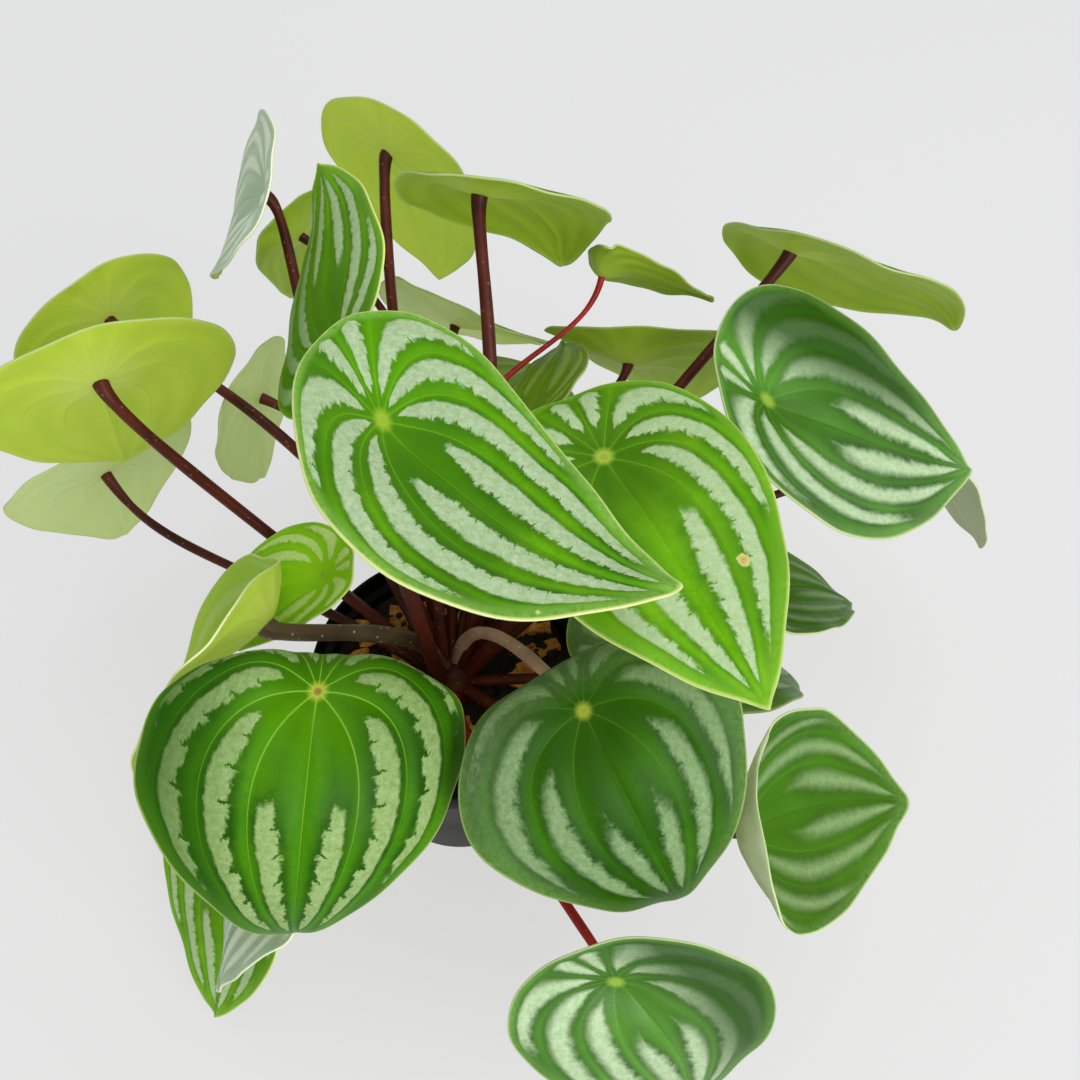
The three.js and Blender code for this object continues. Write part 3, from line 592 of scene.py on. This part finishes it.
# Each leaf in millimetres and degrees, as in the part: the stalk's joint, the way the tip points, how the
# blade bends, the stalk's curve, and which finish it has above, below and on the stalk.
usualLeaf = dict(beak=0, heel=0.23, dimple=4, top="thin", under="lime", skin="maroon")
leaves = [
    dict(node="leaf_01", at=(-8, -3, 206), heading=-34, pitch=20, roll=-20, length=108, width=76, droop=-18,
         lift=-13, curlLeft=7, curlRight=4, twist=-6, bow=-10, beak=-7, dimple=6,
         stalk=(-145, 85, 106, 14, 2.4), top="bold"),
    dict(node="leaf_02", at=(47, 16, 169), heading=-63, pitch=-3, roll=0, length=106, width=75, droop=25,
         lift=-19, curlLeft=-6, curlRight=9, twist=0, bow=-2, dimple=5, stalk=(15, 60, 82, 14, 2.3),
         top="nicked"),
    dict(node="leaf_03", at=(98, 51, 153), heading=-4, pitch=26, roll=4, length=96, width=85, droop=-3,
         lift=1, curlLeft=16, curlRight=12, twist=2, bow=-4, dimple=5, stalk=(30, 30, 84, 28, 2.2),
         top="bluish"),
    dict(node="leaf_04", at=(-28, -44, 147), heading=-89, pitch=14, roll=-15, length=89, width=91, droop=90,
         lift=-120, curlLeft=-38, curlRight=-38, twist=-6, bow=-2, heel=0.2, dimple=6,
         stalk=(-130, 50, 70, 6, 2.3), top="umbrella", skin="brown"),
    dict(node="leaf_05", at=(41, -46, 140), heading=-59, pitch=23, roll=13, length=80, width=84, droop=68,
         lift=-92, curlLeft=-31, curlRight=-18, twist=4, bow=-1, heel=0.2, dimple=5,
         stalk=(70, 70, 44, 28, 2.2), top="deep", skin="pinkish"),
    dict(node="leaf_06", at=(87, -63, 99), heading=25, pitch=36, roll=26, length=90, width=66, droop=-25,
         lift=100, curlLeft=52, curlRight=36, twist=5, bow=4, stalk=(-40, 20, 80, 18, 2), top="soft",
         under="pale"),
    dict(node="leaf_07", at=(-33, 58, 167), heading=90, pitch=-18, roll=-50, length=82, width=59, droop=-3,
         lift=0, curlLeft=-13, curlRight=-7, twist=-10, bow=-5, beak=-15, stalk=(110, 55, 76, 20, 1.8),
         top="upright"),
    dict(node="leaf_08", at=(-37, 11, 118), heading=195, pitch=25, roll=0, length=58, width=38, droop=44,
         lift=0, curlLeft=16, curlRight=11, twist=-4, bow=-1, stalk=(160, 50, 44, 8, 1.5), top="youngPaintedLight"),
    dict(node="leaf_09", at=(-49, -14, 130), heading=212, pitch=39, roll=58, length=88, width=72, droop=13,
         lift=40, curlLeft=3, curlRight=72, twist=-5, bow=-2, stalk=(130, 85, 36, 8, 2.9), top="backlit",
         under="litLimePainted", skin="brown"),
    dict(node="leaf_10", at=(-117, 103, 136), heading=130, pitch=77, roll=-6, length=90, width=70, droop=25,
         lift=13, curlLeft=10, curlRight=8, twist=8, bow=-1, stalk=(120, 65, 96, 12, 1.9)),
    dict(node="leaf_11", at=(-94, 39, 174), heading=128, pitch=71, roll=9, length=89, width=81, droop=-4,
         lift=12, curlLeft=10, curlRight=0, twist=5, bow=0, stalk=(145, 20, 86, 14, 2.1)),
    dict(node="leaf_12", at=(-66, 83, 119), heading=151, pitch=79, roll=-11, length=67, width=58, droop=8,
         lift=16, curlLeft=-6, curlRight=10, twist=5, bow=-5, stalk=(120, 30, 74, 22, 1.7), under="pale"),
    dict(node="leaf_13", at=(-123, 68, 96), heading=131, pitch=66, roll=2, length=76, width=73, droop=25,
         lift=8, curlLeft=10, curlRight=10, twist=-2, bow=-3, stalk=(155, 20, 82, 36, 1.8), under="pale"),
    dict(node="leaf_14", at=(-60, 124, 171), heading=150, pitch=55, roll=-27, length=76, width=65, droop=14,
         lift=-6, curlLeft=14, curlRight=10, twist=-2, bow=-7, beak=-11, heel=0.27,
         stalk=(130, 35, 94, 12, 2), top="paleSheenPainted"),
    dict(node="leaf_15", at=(-22, 147, 170), heading=43, pitch=76, roll=-9, length=88, width=73, droop=7,
         lift=3, curlLeft=-4, curlRight=-6, twist=-8, bow=4, stalk=(110, 35, 48, 6, 2.1), under="litLimePainted"),
    dict(node="leaf_16", at=(-59, 154, 129), heading=122, pitch=69, roll=-26, length=69, width=43, droop=-1,
         lift=25, curlLeft=2, curlRight=31, twist=0, bow=-7, stalk=(90, 25, 124, 22, 1.6), under="green"),
    dict(node="leaf_17", at=(12, 93, 196), heading=51, pitch=45, roll=-16, length=80, width=63, droop=22,
         lift=-13, curlLeft=-34, curlRight=-3, twist=-15, bow=-2, beak=31, stalk=(45, 70, 94, 12, 2.2),
         under="green"),
    dict(node="leaf_18", at=(50, 106, 153), heading=-4, pitch=14, roll=-48, length=50, width=37, droop=11,
         lift=59, curlLeft=-10, curlRight=30, twist=0, bow=10, beak=2, stalk=(105, 50, 112, 34, 1.0),
         under="green", skin="red"),
    dict(node="leaf_19", at=(-1, 120, 117), heading=11, pitch=38, roll=-37, length=61, width=74, droop=-5,
         lift=20, curlLeft=-27, curlRight=1, twist=-12, bow=-5, beak=-9, heel=0.38,
         stalk=(130, 90, 84, 4, 1.8), under="grey"),
    dict(node="leaf_20", at=(24, 53, 141), heading=73, pitch=9, roll=-26, length=58, width=31, droop=16,
         lift=6, curlLeft=-10, curlRight=10, twist=-3, bow=-5, stalk=(55, 45, 72, 4, 1.5), top="shadedOlive"),
    dict(node="leaf_21", at=(60, 95, 123), heading=53, pitch=60, roll=-26, length=81, width=71, droop=-4,
         lift=30, curlLeft=32, curlRight=32, twist=13, bow=-4, stalk=(60, 25, 86, 6, 1.8), under="green"),
    dict(node="leaf_22", at=(112, 112, 158), heading=-10, pitch=23, roll=-42, length=85, width=81, droop=-5,
         lift=-19, curlLeft=-42, curlRight=-2, twist=-15, bow=-6, beak=32, heel=0.24,
         stalk=(55, 35, 44, 10, 2.2), under="green"),
    dict(node="leaf_23", at=(151, 80, 105), heading=-21, pitch=42, roll=-44, length=84, width=60, droop=15,
         lift=9, curlLeft=-4, curlRight=10, twist=-1, bow=2, stalk=(45, 45, 74, 54, 1.8), top="soft",
         under="grey"),
    dict(node="leaf_24", at=(104, 28, 77), heading=19, pitch=26, roll=-12, length=62, width=52, droop=21,
         lift=9, curlLeft=11, curlRight=11, twist=-1, bow=3, stalk=(30, 55, 82, 16, 1.7), top="soft"),
    dict(node="leaf_25", at=(61, -5, 94), heading=19, pitch=20, roll=-15, length=97, width=65, droop=48,
         lift=-14, curlLeft=9, curlRight=5, twist=0, bow=-1, stalk=(-10, 25, 44, 10, 1.8), top="deep"),
    dict(node="leaf_26", at=(50, -102, 91), heading=-51, pitch=50, roll=26, length=76, width=67, droop=34,
         lift=0, curlLeft=11, curlRight=10, twist=0, bow=6, stalk=(-80, 25, 42, 6, 1.6), top="bluish",
         skin="red"),
    dict(node="leaf_27", at=(-75, -47, 44), heading=-97, pitch=37, roll=26, length=76, width=56, droop=17,
         lift=8, curlLeft=10, curlRight=-6, twist=2, bow=6, stalk=(-175, 35, 88, 34, 1.8), top="fresh"),
    dict(node="leaf_28", at=(-43, -72, 78), heading=-146, pitch=44, roll=25, length=65, width=46, droop=22,
         lift=2, curlLeft=10, curlRight=4, twist=7, bow=-6, stalk=(-100, 30, 64, 20, 1.8), top="paleSheenPainted"),
    dict(node="leaf_29", at=(15, 90, 107), heading=66, pitch=35, roll=0, length=65, width=53, droop=-4,
         lift=21, curlLeft=24, curlRight=12, twist=10, bow=3, stalk=(80, 20, 76, 10, 1.5), top="shadedOlive"),
]
leaves = [dict(usualLeaf, **leaf) for leaf in leaves]

usualTop = dict(spot="#A9B83A", innerStart=0.36, heelStart=0.14, bandRamp=0.3, bandWidth=0.5, bandEnd=0.88,
                bandShift=0.05, softness=0.09, ragged=0.22, barbs=7.0, barbDepth=0.12, cuts=0.15,
                grain=0.35, net=0.14, veinLine=0.3, marginShare=0.5, speck=0.3, gloss=0.4, sheen=0.1,
                through=0.12, paintedShadeFrom=0.6, paintedShadeTo=0.9, paintedShadeShare=0.0)
# some looks paint shade on one side of the blade, where it turns from the light: leaf_03, 04, 07 and 26
topLooks = dict(
    bold=dict(usualTop, silver="#B2C4A4", silverDeep="#88A274", deep="#205600", mid="#4E9000",
              bright="#74AE08", core="#4E9000", vein="#86BC34", margin="#9CC06A", rim="#CCD48C",
              spot="#9CC034", innerStart=0.22, outerStart=0.05, bandRamp=0.18, bandWidth=0.52, bandEnd=0.9,
              bandShift=0.04, barbs=24.0, net=0.16, marginShare=0.6, speck=0.2, sheen=0.08,
              scar=(0.704, -0.25, 0), scarReach=0.022),
    fresh=dict(usualTop, silver="#BCCEAC", silverDeep="#98B680", deep="#2A6C00", mid="#5CA204",
               bright="#8ECA1E", core="#2C6E00", vein="#94C83C", margin="#8EBE4C", rim="#C6D47C",
               spot="#C0DC50", innerStart=0.34, outerStart=0.14, bandRamp=0.26, softness=0.13, ragged=0.24,
               barbs=18.0, cuts=0.16, veinLine=0.25, speck=0.4, gloss=0.38, through=0.25),
    umbrella=dict(usualTop, silver="#9CB27C", silverDeep="#74944A", deep="#124600", mid="#3A7A00",
                  bright="#54920A", core="#4E8C06", vein="#8CBE40", margin="#5E8A28", rim="#B4C470",
                  spot="#BCC844", outerStart=0.18, heelStart=0.16, bandRamp=0.22, bandShift=0.06,
                  barbs=11.0, barbDepth=0.26, cuts=0.6, grain=0.3, net=0.18, veinLine=0.7, marginShare=0.35,
                  speck=0.9, gloss=0.36, through=0.08, paintedShadeFrom=-0.2, paintedShadeTo=-0.65, paintedShadeShare=0.85),
    deep=dict(usualTop, silver="#8AA27A", silverDeep="#64844E", deep="#0C3A00", mid="#2C6400",
              bright="#3A7406", core="#336A00", vein="#568A22", margin="#6C8E44", rim="#A2B472",
              outerStart=0.24, heelStart=0.1, bandWidth=0.46, bandEnd=0.8, softness=0.24, barbDepth=0.06,
              grain=0.3, gloss=0.36, sheen=0.12, through=0.08, heelSheenPainted=0.3),
    bluish=dict(usualTop, silver="#BACEAC", silverDeep="#94B080", deep="#0C4000", mid="#4C882A",
                bright="#5A9A34", core="#4A8424", vein="#74A844", margin="#86AC64", rim="#B8C890",
                spot="#98BC3C", innerStart=0.26, outerStart=0.08, heelStart=0.08, bandEnd=0.86,
                bandShift=0.03, softness=0.3, ragged=0.16, barbs=9.0, barbDepth=0.08, cuts=0.05, grain=0.15,
                net=0.08, veinLine=0.2, marginShare=0.4, speck=0.2, gloss=0.34, sheen=0.35, paintedShadeFrom=0.08,
                paintedShadeTo=0.32, paintedShadeShare=0.9),
    # painted shade: olive upper sides with dull silver, for leaf_20 and leaf_29 lying in shade
    shadedOlive=dict(usualTop, silver="#8CA04E", silverDeep="#708A36", deep="#345C00", mid="#527C08",
               bright="#709618", core="#527C08", vein="#98AE3C", margin="#6E8A36", rim="#9CAC5C",
               innerStart=0.2, outerStart=0.1, heelStart=0.2, bandWidth=0.45, bandEnd=0.86, bandShift=0.03,
               softness=0.18, ragged=0.2, barbDepth=0.15, cuts=0.2, grain=0.2, net=0.1, marginShare=0.3,
               sheen=0.3, through=0.3),
)
# leaves that differ in part from one of these
topLooks["nicked"] = dict(topLooks["fresh"], core="#1E5A00", scar=(0.578, 0.192, 0), scarReach=0.036)
topLooks["thin"] = dict(topLooks["deep"], through=0.65)
# leaf_07: the fresh look with painted shade over its left half
topLooks["upright"] = dict(topLooks["fresh"], paintedShadeFrom=0.02, paintedShadeTo=0.3, paintedShadeShare=0.6)
# leaf_08: a young leaf's bright yellow-green, lightened further as painted light against leaf_01's shadow
topLooks["youngPaintedLight"] = dict(topLooks["fresh"], silver="#E0F4B0", silverDeep="#C8E686", deep="#5CB000",
                         mid="#8ED412", bright="#B4EC38", core="#8ED412", through=0.5)
topLooks["soft"] = dict(topLooks["bluish"], silver="#829C6E", silverDeep="#66864E", deep="#164600",
                        mid="#2E6606", bright="#427C16", core="#2E6606", softness=0.4, bandWidth=0.36,
                        ragged=0.1, barbDepth=0.04, cuts=0.0, sheen=0.12, paintedShadeShare=0.0)
# leaf_14 and leaf_28: painted sheen, upper sides paled to grey-green for glare at a grazing angle
topLooks["paleSheenPainted"] = dict(topLooks["bluish"], silver="#DCE6D4", silverDeep="#C4D2B8", deep="#86A480",
                         mid="#A4BA9A", bright="#BCCEB0", core="#A4BA9A", vein="#C4D4B4",
                         margin="#CCDABC", rim="#DCE2C4", paintedShadeShare=0.0)
topLooks["backlit"] = dict(topLooks["bluish"], silver="#C4D684", silverDeep="#B4CA6C", deep="#9CBC40",
                           mid="#AECC4C", bright="#BCD660", core="#B4D054", vein="#CCDC78",
                           margin="#C4D680", rim="#D8DEA4", through=0.5, paintedShadeShare=0.0)


underLooks = dict(
    lime=dict(base="#CAE048", shade="#B0CC34", vein="#9AB82C", halo="#DCE680", rim="#D6DE98", gloss=0.5,
              through=0.45),
    # painted shade: green is the lime underside made darker, for undersides that face away from the light
    green=dict(base="#94B024", shade="#6C9414", vein="#86A628", halo="#B6CA52", rim="#BCD088", gloss=0.5,
               through=0.34),
    pale=dict(base="#F0F8D4", shade="#E4F0BC", vein="#B8CE78", halo="#EAF0C0", rim="#E0E6B4", gloss=0.5,
              through=0.6),
    grey=dict(base="#EAEEDC", shade="#D8E0C4", vein="#A8B486", halo="#E0E4CA", rim="#D2D6BC", gloss=0.46,
              through=0.6),
)
# painted light: the lime underside made lighter for leaf_09 and leaf_15, as if more strongly lit
underLooks["litLimePainted"] = dict(underLooks["lime"], base="#DCEE6C", shade="#C8DE50", through=0.6)

skinLooks = dict(
    maroon=dict(skin="#561F10", shade="#341008", pore="#94745E", poreShare=0.4),
    brown=dict(skin="#5C4A36", shade="#3E3020", pore="#B9AC90", poreShare=0.8),
    pinkish=dict(skin="#B4907C", shade="#8C6A58", pore="#E0D0BE", poreShare=0.8),
    red=dict(skin="#A2201C", shade="#7C1612", pore="#C46A5A", poreShare=0.4),
)

blade = dict(
    spokes=72, rings=(0.988, 0.965, 0.93, 0.885, 0.83, 0.77, 0.71, 0.65, 0.59, 0.52, 0.45, 0.38, 0.31, 0.24,
                      0.17, 0.1, 0.05),
    thickness=0.75,
    tipTaper=0.85, beakStart=0.7, dimpleSpread=0.11, bendSteps=24,
    grooveDepth=0.45,     # how far a main vein sinks below the flesh beside it
    quilting=0.55,        # how far the flesh swells between two veins
    reliefStart=(4, 16),  # distances from the stalk at which both begin and are full
    reliefEnd=0.75,       # share of the way to the rim at which both begin to fade
    marginWave=0.5,       # height of the slight ripple near the rim
    marginStart=0.7,
    outlineWave=0.006,    # unevenness of the outline, as a share of its distance from the stalk
    # waves round a blade: how many, how far each next blade's are shifted, and their share
    marginWaves=((7, 1.7, 1), (13, 1, 0.5)),
    outlineWaves=((5, 1, 1), (11, 2.3, 0.6)),
)


def leafTurn(leaf):
    return Euler([math.radians(leaf[key]) for key in ("roll", "pitch", "heading")], "XYZ").to_matrix()


def ribSlope(leaf, x):
    tipShare = x / (leaf["length"] * (1 - leaf["heel"]))
    heelShare = -x / (leaf["length"] * leaf["heel"])
    beakShare = np.clip((tipShare - blade["beakStart"]) / (1 - blade["beakStart"]), 0, 1.2)
    toTip = math.radians(leaf["droop"]) * np.clip(tipShare, 0, 2) ** 1.5
    toTip = toTip + math.radians(leaf["beak"]) * beakShare
    toHeel = math.radians(leaf["lift"]) * np.clip(heelShare, 0, 2)
    return np.where(x < 0, toHeel, toTip)


def bentPoints(leaf, x, y):
    # the part's own bend: flat points in, points about the stalk's joint out
    tipShare = x / (leaf["length"] * (1 - leaf["heel"]))
    curl = np.radians(np.where(y > 0, leaf["curlLeft"], leaf["curlRight"])) / (leaf["width"] / 2)
    curl = np.where(np.abs(curl) < 1e-6, 1e-6, curl)
    flatSide = np.sign(y) * np.sin(curl * np.abs(y)) / curl
    flatRise = (1 - np.cos(curl * np.abs(y))) / curl
    turn = math.radians(leaf["twist"]) * np.clip(tipShare, 0, 1.5) ** 2
    side = flatSide * np.cos(turn) - flatRise * np.sin(turn)
    dimpleReach = 2 * (blade["dimpleSpread"] * leaf["length"]) ** 2
    rise = flatSide * np.sin(turn) + flatRise * np.cos(turn)
    rise = rise + leaf["dimple"] * (1 - np.exp(-(x * x + y * y) / dimpleReach))
    bow = leaf["bow"] * 4 * tipShare * np.where(tipShare > 0, 1 - tipShare, 1)
    along = np.zeros_like(x)
    height = np.zeros_like(x)
    steps = blade["bendSteps"]
    for i in range(steps):
        slope = ribSlope(leaf, x * (i + 0.5) / steps)
        along += np.cos(slope) * x / steps
        height -= np.sin(slope) * x / steps
    slope = ribSlope(leaf, x)
    return np.stack([along + rise * np.sin(slope), side + bow, height + rise * np.cos(slope)], axis=1)


def bentNormals(leaf, x, y):
    step = 0.5
    here = bentPoints(leaf, x, y)
    cross = np.cross(bentPoints(leaf, x + step, y) - here, bentPoints(leaf, x, y + step) - here)
    return cross / np.linalg.norm(cross, axis=1)[:, None]


def addBladeBlank():
    # a round disc with rings, closer together toward the rim, from which every blade is bent
    deselectAll()
    bpy.ops.mesh.primitive_circle_add(vertices=blade["spokes"], radius=1, fill_type="NGON")
    blank = bpy.context.object
    bpy.ops.object.mode_set(mode="EDIT")
    bpy.ops.mesh.select_mode(type="FACE")
    bpy.ops.mesh.select_all(action="SELECT")
    apothem = math.cos(math.pi / blade["spokes"])
    reached = 1
    for ring in blade["rings"]:
        bpy.ops.mesh.inset(thickness=(reached - ring) * apothem, depth=0)
        reached = ring
    bpy.ops.mesh.poke()
    bpy.ops.object.mode_set(mode="OBJECT")
    blank.data.materials.clear()
    while blank.data.uv_layers:
        blank.data.uv_layers.remove(blank.data.uv_layers[0])
    return blank


def smoothStep(value, low, high):
    share = np.clip((value - low) / (high - low), 0, 1)
    return share * share * (3 - 2 * share)


def wavesRound(angle, number, waves):
    return sum(share * np.sin(count * angle + shift * number) for count, shift, share in waves)


def unbentBlade(leaf, number, mesh):
    # stretches the round blank to the blade's outline: share of the way to the rim, way round, place
    co = np.zeros(len(mesh.vertices) * 3)
    mesh.vertices.foreach_get("co", co)
    co = co.reshape(-1, 3)
    rimShare = np.clip(np.hypot(co[:, 0], co[:, 1]), 0, 1)
    angle = np.arctan2(co[:, 1], co[:, 0])
    cosine = np.clip(np.cos(angle), -1, 1)
    taper = blade["tipTaper"]
    widest = (0.5 - taper) / (0.5 + taper)
    full = math.sqrt(1 + widest) * (1 - widest) ** taper
    half = np.sqrt(1 + cosine) * (1 - cosine) ** taper * leaf["width"] / 2 / full
    side = np.where(np.abs(np.sin(angle)) < 1e-6, 0, np.sign(np.sin(angle)))
    reach = rimShare * (1 + blade["outlineWave"] * wavesRound(angle, number, blade["outlineWaves"]))
    return rimShare, angle, reach * leaf["length"] * ((cosine + 1) / 2 - leaf["heel"]), reach * side * half


def bladeRelief(number, rimShare, angle, x, y, ahead):
    # sunken main veins, swollen flesh between them, a slight ripple at the margin
    turned = (np.arctan2(np.abs(y), x) + np.arctan2(np.abs(y), np.maximum(ahead - x, 1e-3))) / math.pi
    room = np.maximum(veinPlan["rimFollowEnd"] - turned, 0)
    turned = turned + veinPlan["rimFollow"] * room * turned * rimShare ** 3
    lane = veinPlan["frontLanes"] * turned + veinPlan["heelLanes"] * turned ** 3
    off = np.abs((lane % 1) - 0.5) * 2
    inner = smoothStep(np.hypot(x, y), *blade["reliefStart"])
    relief = inner * (1 - smoothStep(rimShare, blade["reliefEnd"], 1)) * (
        blade["quilting"] * (1 - off ** 2) - blade["grooveDepth"] * smoothStep(off, 0.7, 1))
    ripple = wavesRound(angle, number, blade["marginWaves"])
    return relief + blade["marginWave"] * smoothStep(rimShare, blade["marginStart"], 1) * ripple


def addMap(mesh, name, across, up):
    corners = np.zeros(len(mesh.loops), int)
    mesh.loops.foreach_get("vertex_index", corners)
    mesh.uv_layers.new(name=name).data.foreach_set("uv", np.stack([across, up], 1)[corners].ravel())


def addBlade(leaf, number, blank, materials):
    piece = copyOf(blank, leaf["node"].replace("leaf", "blade"))
    mesh = piece.data
    ahead = leaf["length"] * (1 - leaf["heel"])
    rimShare, angle, x, y = unbentBlade(leaf, number, mesh)
    relief = bladeRelief(number, rimShare, angle, x, y, ahead)
    points = bentPoints(leaf, x, y) + bentNormals(leaf, x, y) * relief[:, None]
    points = points @ np.array(leafTurn(leaf)).T + np.array(leaf["at"])
    mesh.vertices.foreach_set("co", (points * mm).ravel())
    # flat map: place on the unbent blade with the tip at 1; share map: share of the way to the rim, and
    # a number of the blade's own
    addMap(mesh, "flat", x / ahead, y / ahead)
    addMap(mesh, "share", rimShare, np.full(len(x), number * 1.37))
    mesh.update()
    for material in materials:
        mesh.materials.append(material)
    solid = piece.modifiers.new("flesh", "SOLIDIFY")
    solid.thickness = blade["thickness"] * mm
    solid.offset = 0
    solid.material_offset = 1
    solid.material_offset_rim = 2
    smoother = piece.modifiers.new("round", "SUBSURF")
    smoother.levels = 1
    smoother.render_levels = 1
    applyModifiers(piece)
    bpy.ops.object.shade_smooth()
    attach(piece, "root")
    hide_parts(leaf["node"])
    return piece


# Rootstock and stalks

stalk = dict(
    startRadius=4, startHeight=71, gapToBlade=0.3, runOut=5, joints=6, stepsPerJoint=6, taper=0.82, foot=1.2,
    head=1.18, roundness=3, unevenness=0.05,
)
rootstock = dict(
    rings=[(6, 50), (9, 51), (9.3, 60), (9, 66), (8.6, 70), (7.6, 73), (5.8, 75.4), (3, 76.8), (1, 77)],
    sides=40, knobs=0.9, knobScale=180,
)


def addStalk(leaf, number, materials):
    launch, rise, reachOut, reachIn, radius = leaf["stalk"]
    launch, rise = math.radians(launch), math.radians(rise)
    normal = leafTurn(leaf) @ Vector((0, 0, 1))
    compass = Vector((math.cos(launch), math.sin(launch), 0))
    start = compass * stalk["startRadius"] + Vector((0, 0, stalk["startHeight"]))
    outward = compass * math.cos(rise) + Vector((0, 0, math.sin(rise)))
    end = Vector(leaf["at"]) - normal * stalk["gapToBlade"]
    deselectAll()
    bpy.ops.curve.primitive_bezier_curve_add()
    piece = bpy.context.object
    piece.name = leaf["node"].replace("leaf", "stalk")
    first, last = piece.data.splines[0].bezier_points
    for point, place, before, after in (
            (first, start, start - outward * stalk["runOut"], start + outward * reachOut),
            (last, end, end - normal * reachIn, end + normal * stalk["runOut"])):
        point.handle_left_type = point.handle_right_type = "FREE"
        point.co = place * mm
        point.handle_left = before * mm
        point.handle_right = after * mm
    bpy.ops.object.mode_set(mode="EDIT")
    bpy.ops.curve.select_all(action="SELECT")
    bpy.ops.curve.subdivide(number_cuts=stalk["joints"])
    bpy.ops.object.mode_set(mode="OBJECT")
    points = piece.data.splines[0].bezier_points
    for i, point in enumerate(points):
        share = i / (len(points) - 1)
        point.radius = 1 + (stalk["taper"] - 1) * share + stalk["unevenness"] * math.sin(4 * i + number)
    points[0].radius = stalk["foot"]
    points[-1].radius = stalk["head"]
    piece.data.bevel_depth = radius * mm
    piece.data.bevel_resolution = stalk["roundness"]
    piece.data.resolution_u = stalk["stepsPerJoint"]
    piece.data.use_fill_caps = True
    piece.data.materials.append(materials[leaf["skin"]])
    bpy.ops.object.convert(target="MESH")
    bpy.ops.object.transform_apply(location=True, rotation=True, scale=True)
    return bpy.context.object


def addCrown(materials):
    crown = addTurned("rootstock", rootstock["rings"], rootstock["sides"])
    roughen(crown, rootstock["knobs"] * mm, rootstock["knobScale"])
    crown.data.materials.append(materials["maroon"])
    return crown


def addCrownAndStalks():
    materials = {name: stalkMaterial(name, look) for name, look in skinLooks.items()}
    parts = [addCrown(materials)]
    parts += [addStalk(leaf, number, materials) for number, leaf in enumerate(leaves)]
    piece = joinAll(parts, "rootstock_and_stalks")
    bpy.ops.object.mode_set(mode="EDIT")
    bpy.ops.mesh.select_all(action="SELECT")
    bpy.ops.mesh.normals_make_consistent(inside=False)
    bpy.ops.object.mode_set(mode="OBJECT")
    bpy.ops.object.shade_smooth()
    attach(piece, "root")
    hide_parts("crown_and_stalks")
    return piece


# Build

addPot()
print("pot made")
addPottingMix()
print("potting mix made")
addCrownAndStalks()
print("rootstock and stalks made")

topMaterials = {name: bladeTopMaterial(name, look) for name, look in topLooks.items()}
underMaterials = {name: bladeUnderMaterial(name, look) for name, look in underLooks.items()}
rimMaterials = {name: bladeRimMaterial(name, look["rim"]) for name, look in topLooks.items()}
blank = addBladeBlank()
for number, leaf in enumerate(leaves):
    addBlade(leaf, number, blank,
             (topMaterials[leaf["top"]], underMaterials[leaf["under"]], rimMaterials[leaf["top"]]))
bpy.data.objects.remove(blank)
print("29 blades made")


# Stage, light and camera

deselectAll()
bpy.ops.mesh.primitive_plane_add(size=6)
floor = bpy.context.object
floor.name = "light_table"
floor.data.materials.append(tableMaterial())

lights = [
    dict(name="frontSoftbox", at=(0.7, -0.9, 0.85), size=1.0, watts=15, colour=(1.0, 0.99, 0.97)),
    dict(name="topSoftbox", at=(0.3, 0.25, 1.6), size=1.2, watts=8, colour=(1.0, 1.0, 0.99)),
]
for light in lights:
    bpy.ops.object.light_add(type="AREA", location=light["at"])
    lamp = bpy.context.object
    lamp.name = light["name"]
    lamp.data.size = light["size"]
    lamp.data.energy = light["watts"]
    lamp.data.color = light["colour"]
    aim = Vector((0, 0, 0.12)) - Vector(light["at"])
    lamp.rotation_euler = aim.to_track_quat("-Z", "Y").to_euler()

world = bpy.data.worlds.new("paleRoom")
scene.world = world
world.use_nodes = True
world.node_tree.nodes["Background"].inputs["Color"].default_value = linear("#F2F4F6")
world.node_tree.nodes["Background"].inputs["Strength"].default_value = 0.75
scene.view_settings.view_transform = "Standard"

# where the photograph was taken from: it looks down at 55 degrees
photoView = dict(at=(29.57, -182.55, 413.46), down=55, sensor=36, lens=38.33, nearest=10)
bpy.ops.object.camera_add(location=[side * mm for side in photoView["at"]],
                          rotation=(math.radians(90 - photoView["down"]), 0, 0))
camera = bpy.context.object
camera.name = "photoCamera"
camera.data.sensor_width = photoView["sensor"]
camera.data.lens = photoView["lens"]
camera.data.clip_start = photoView["nearest"] * mm
scene.camera = camera
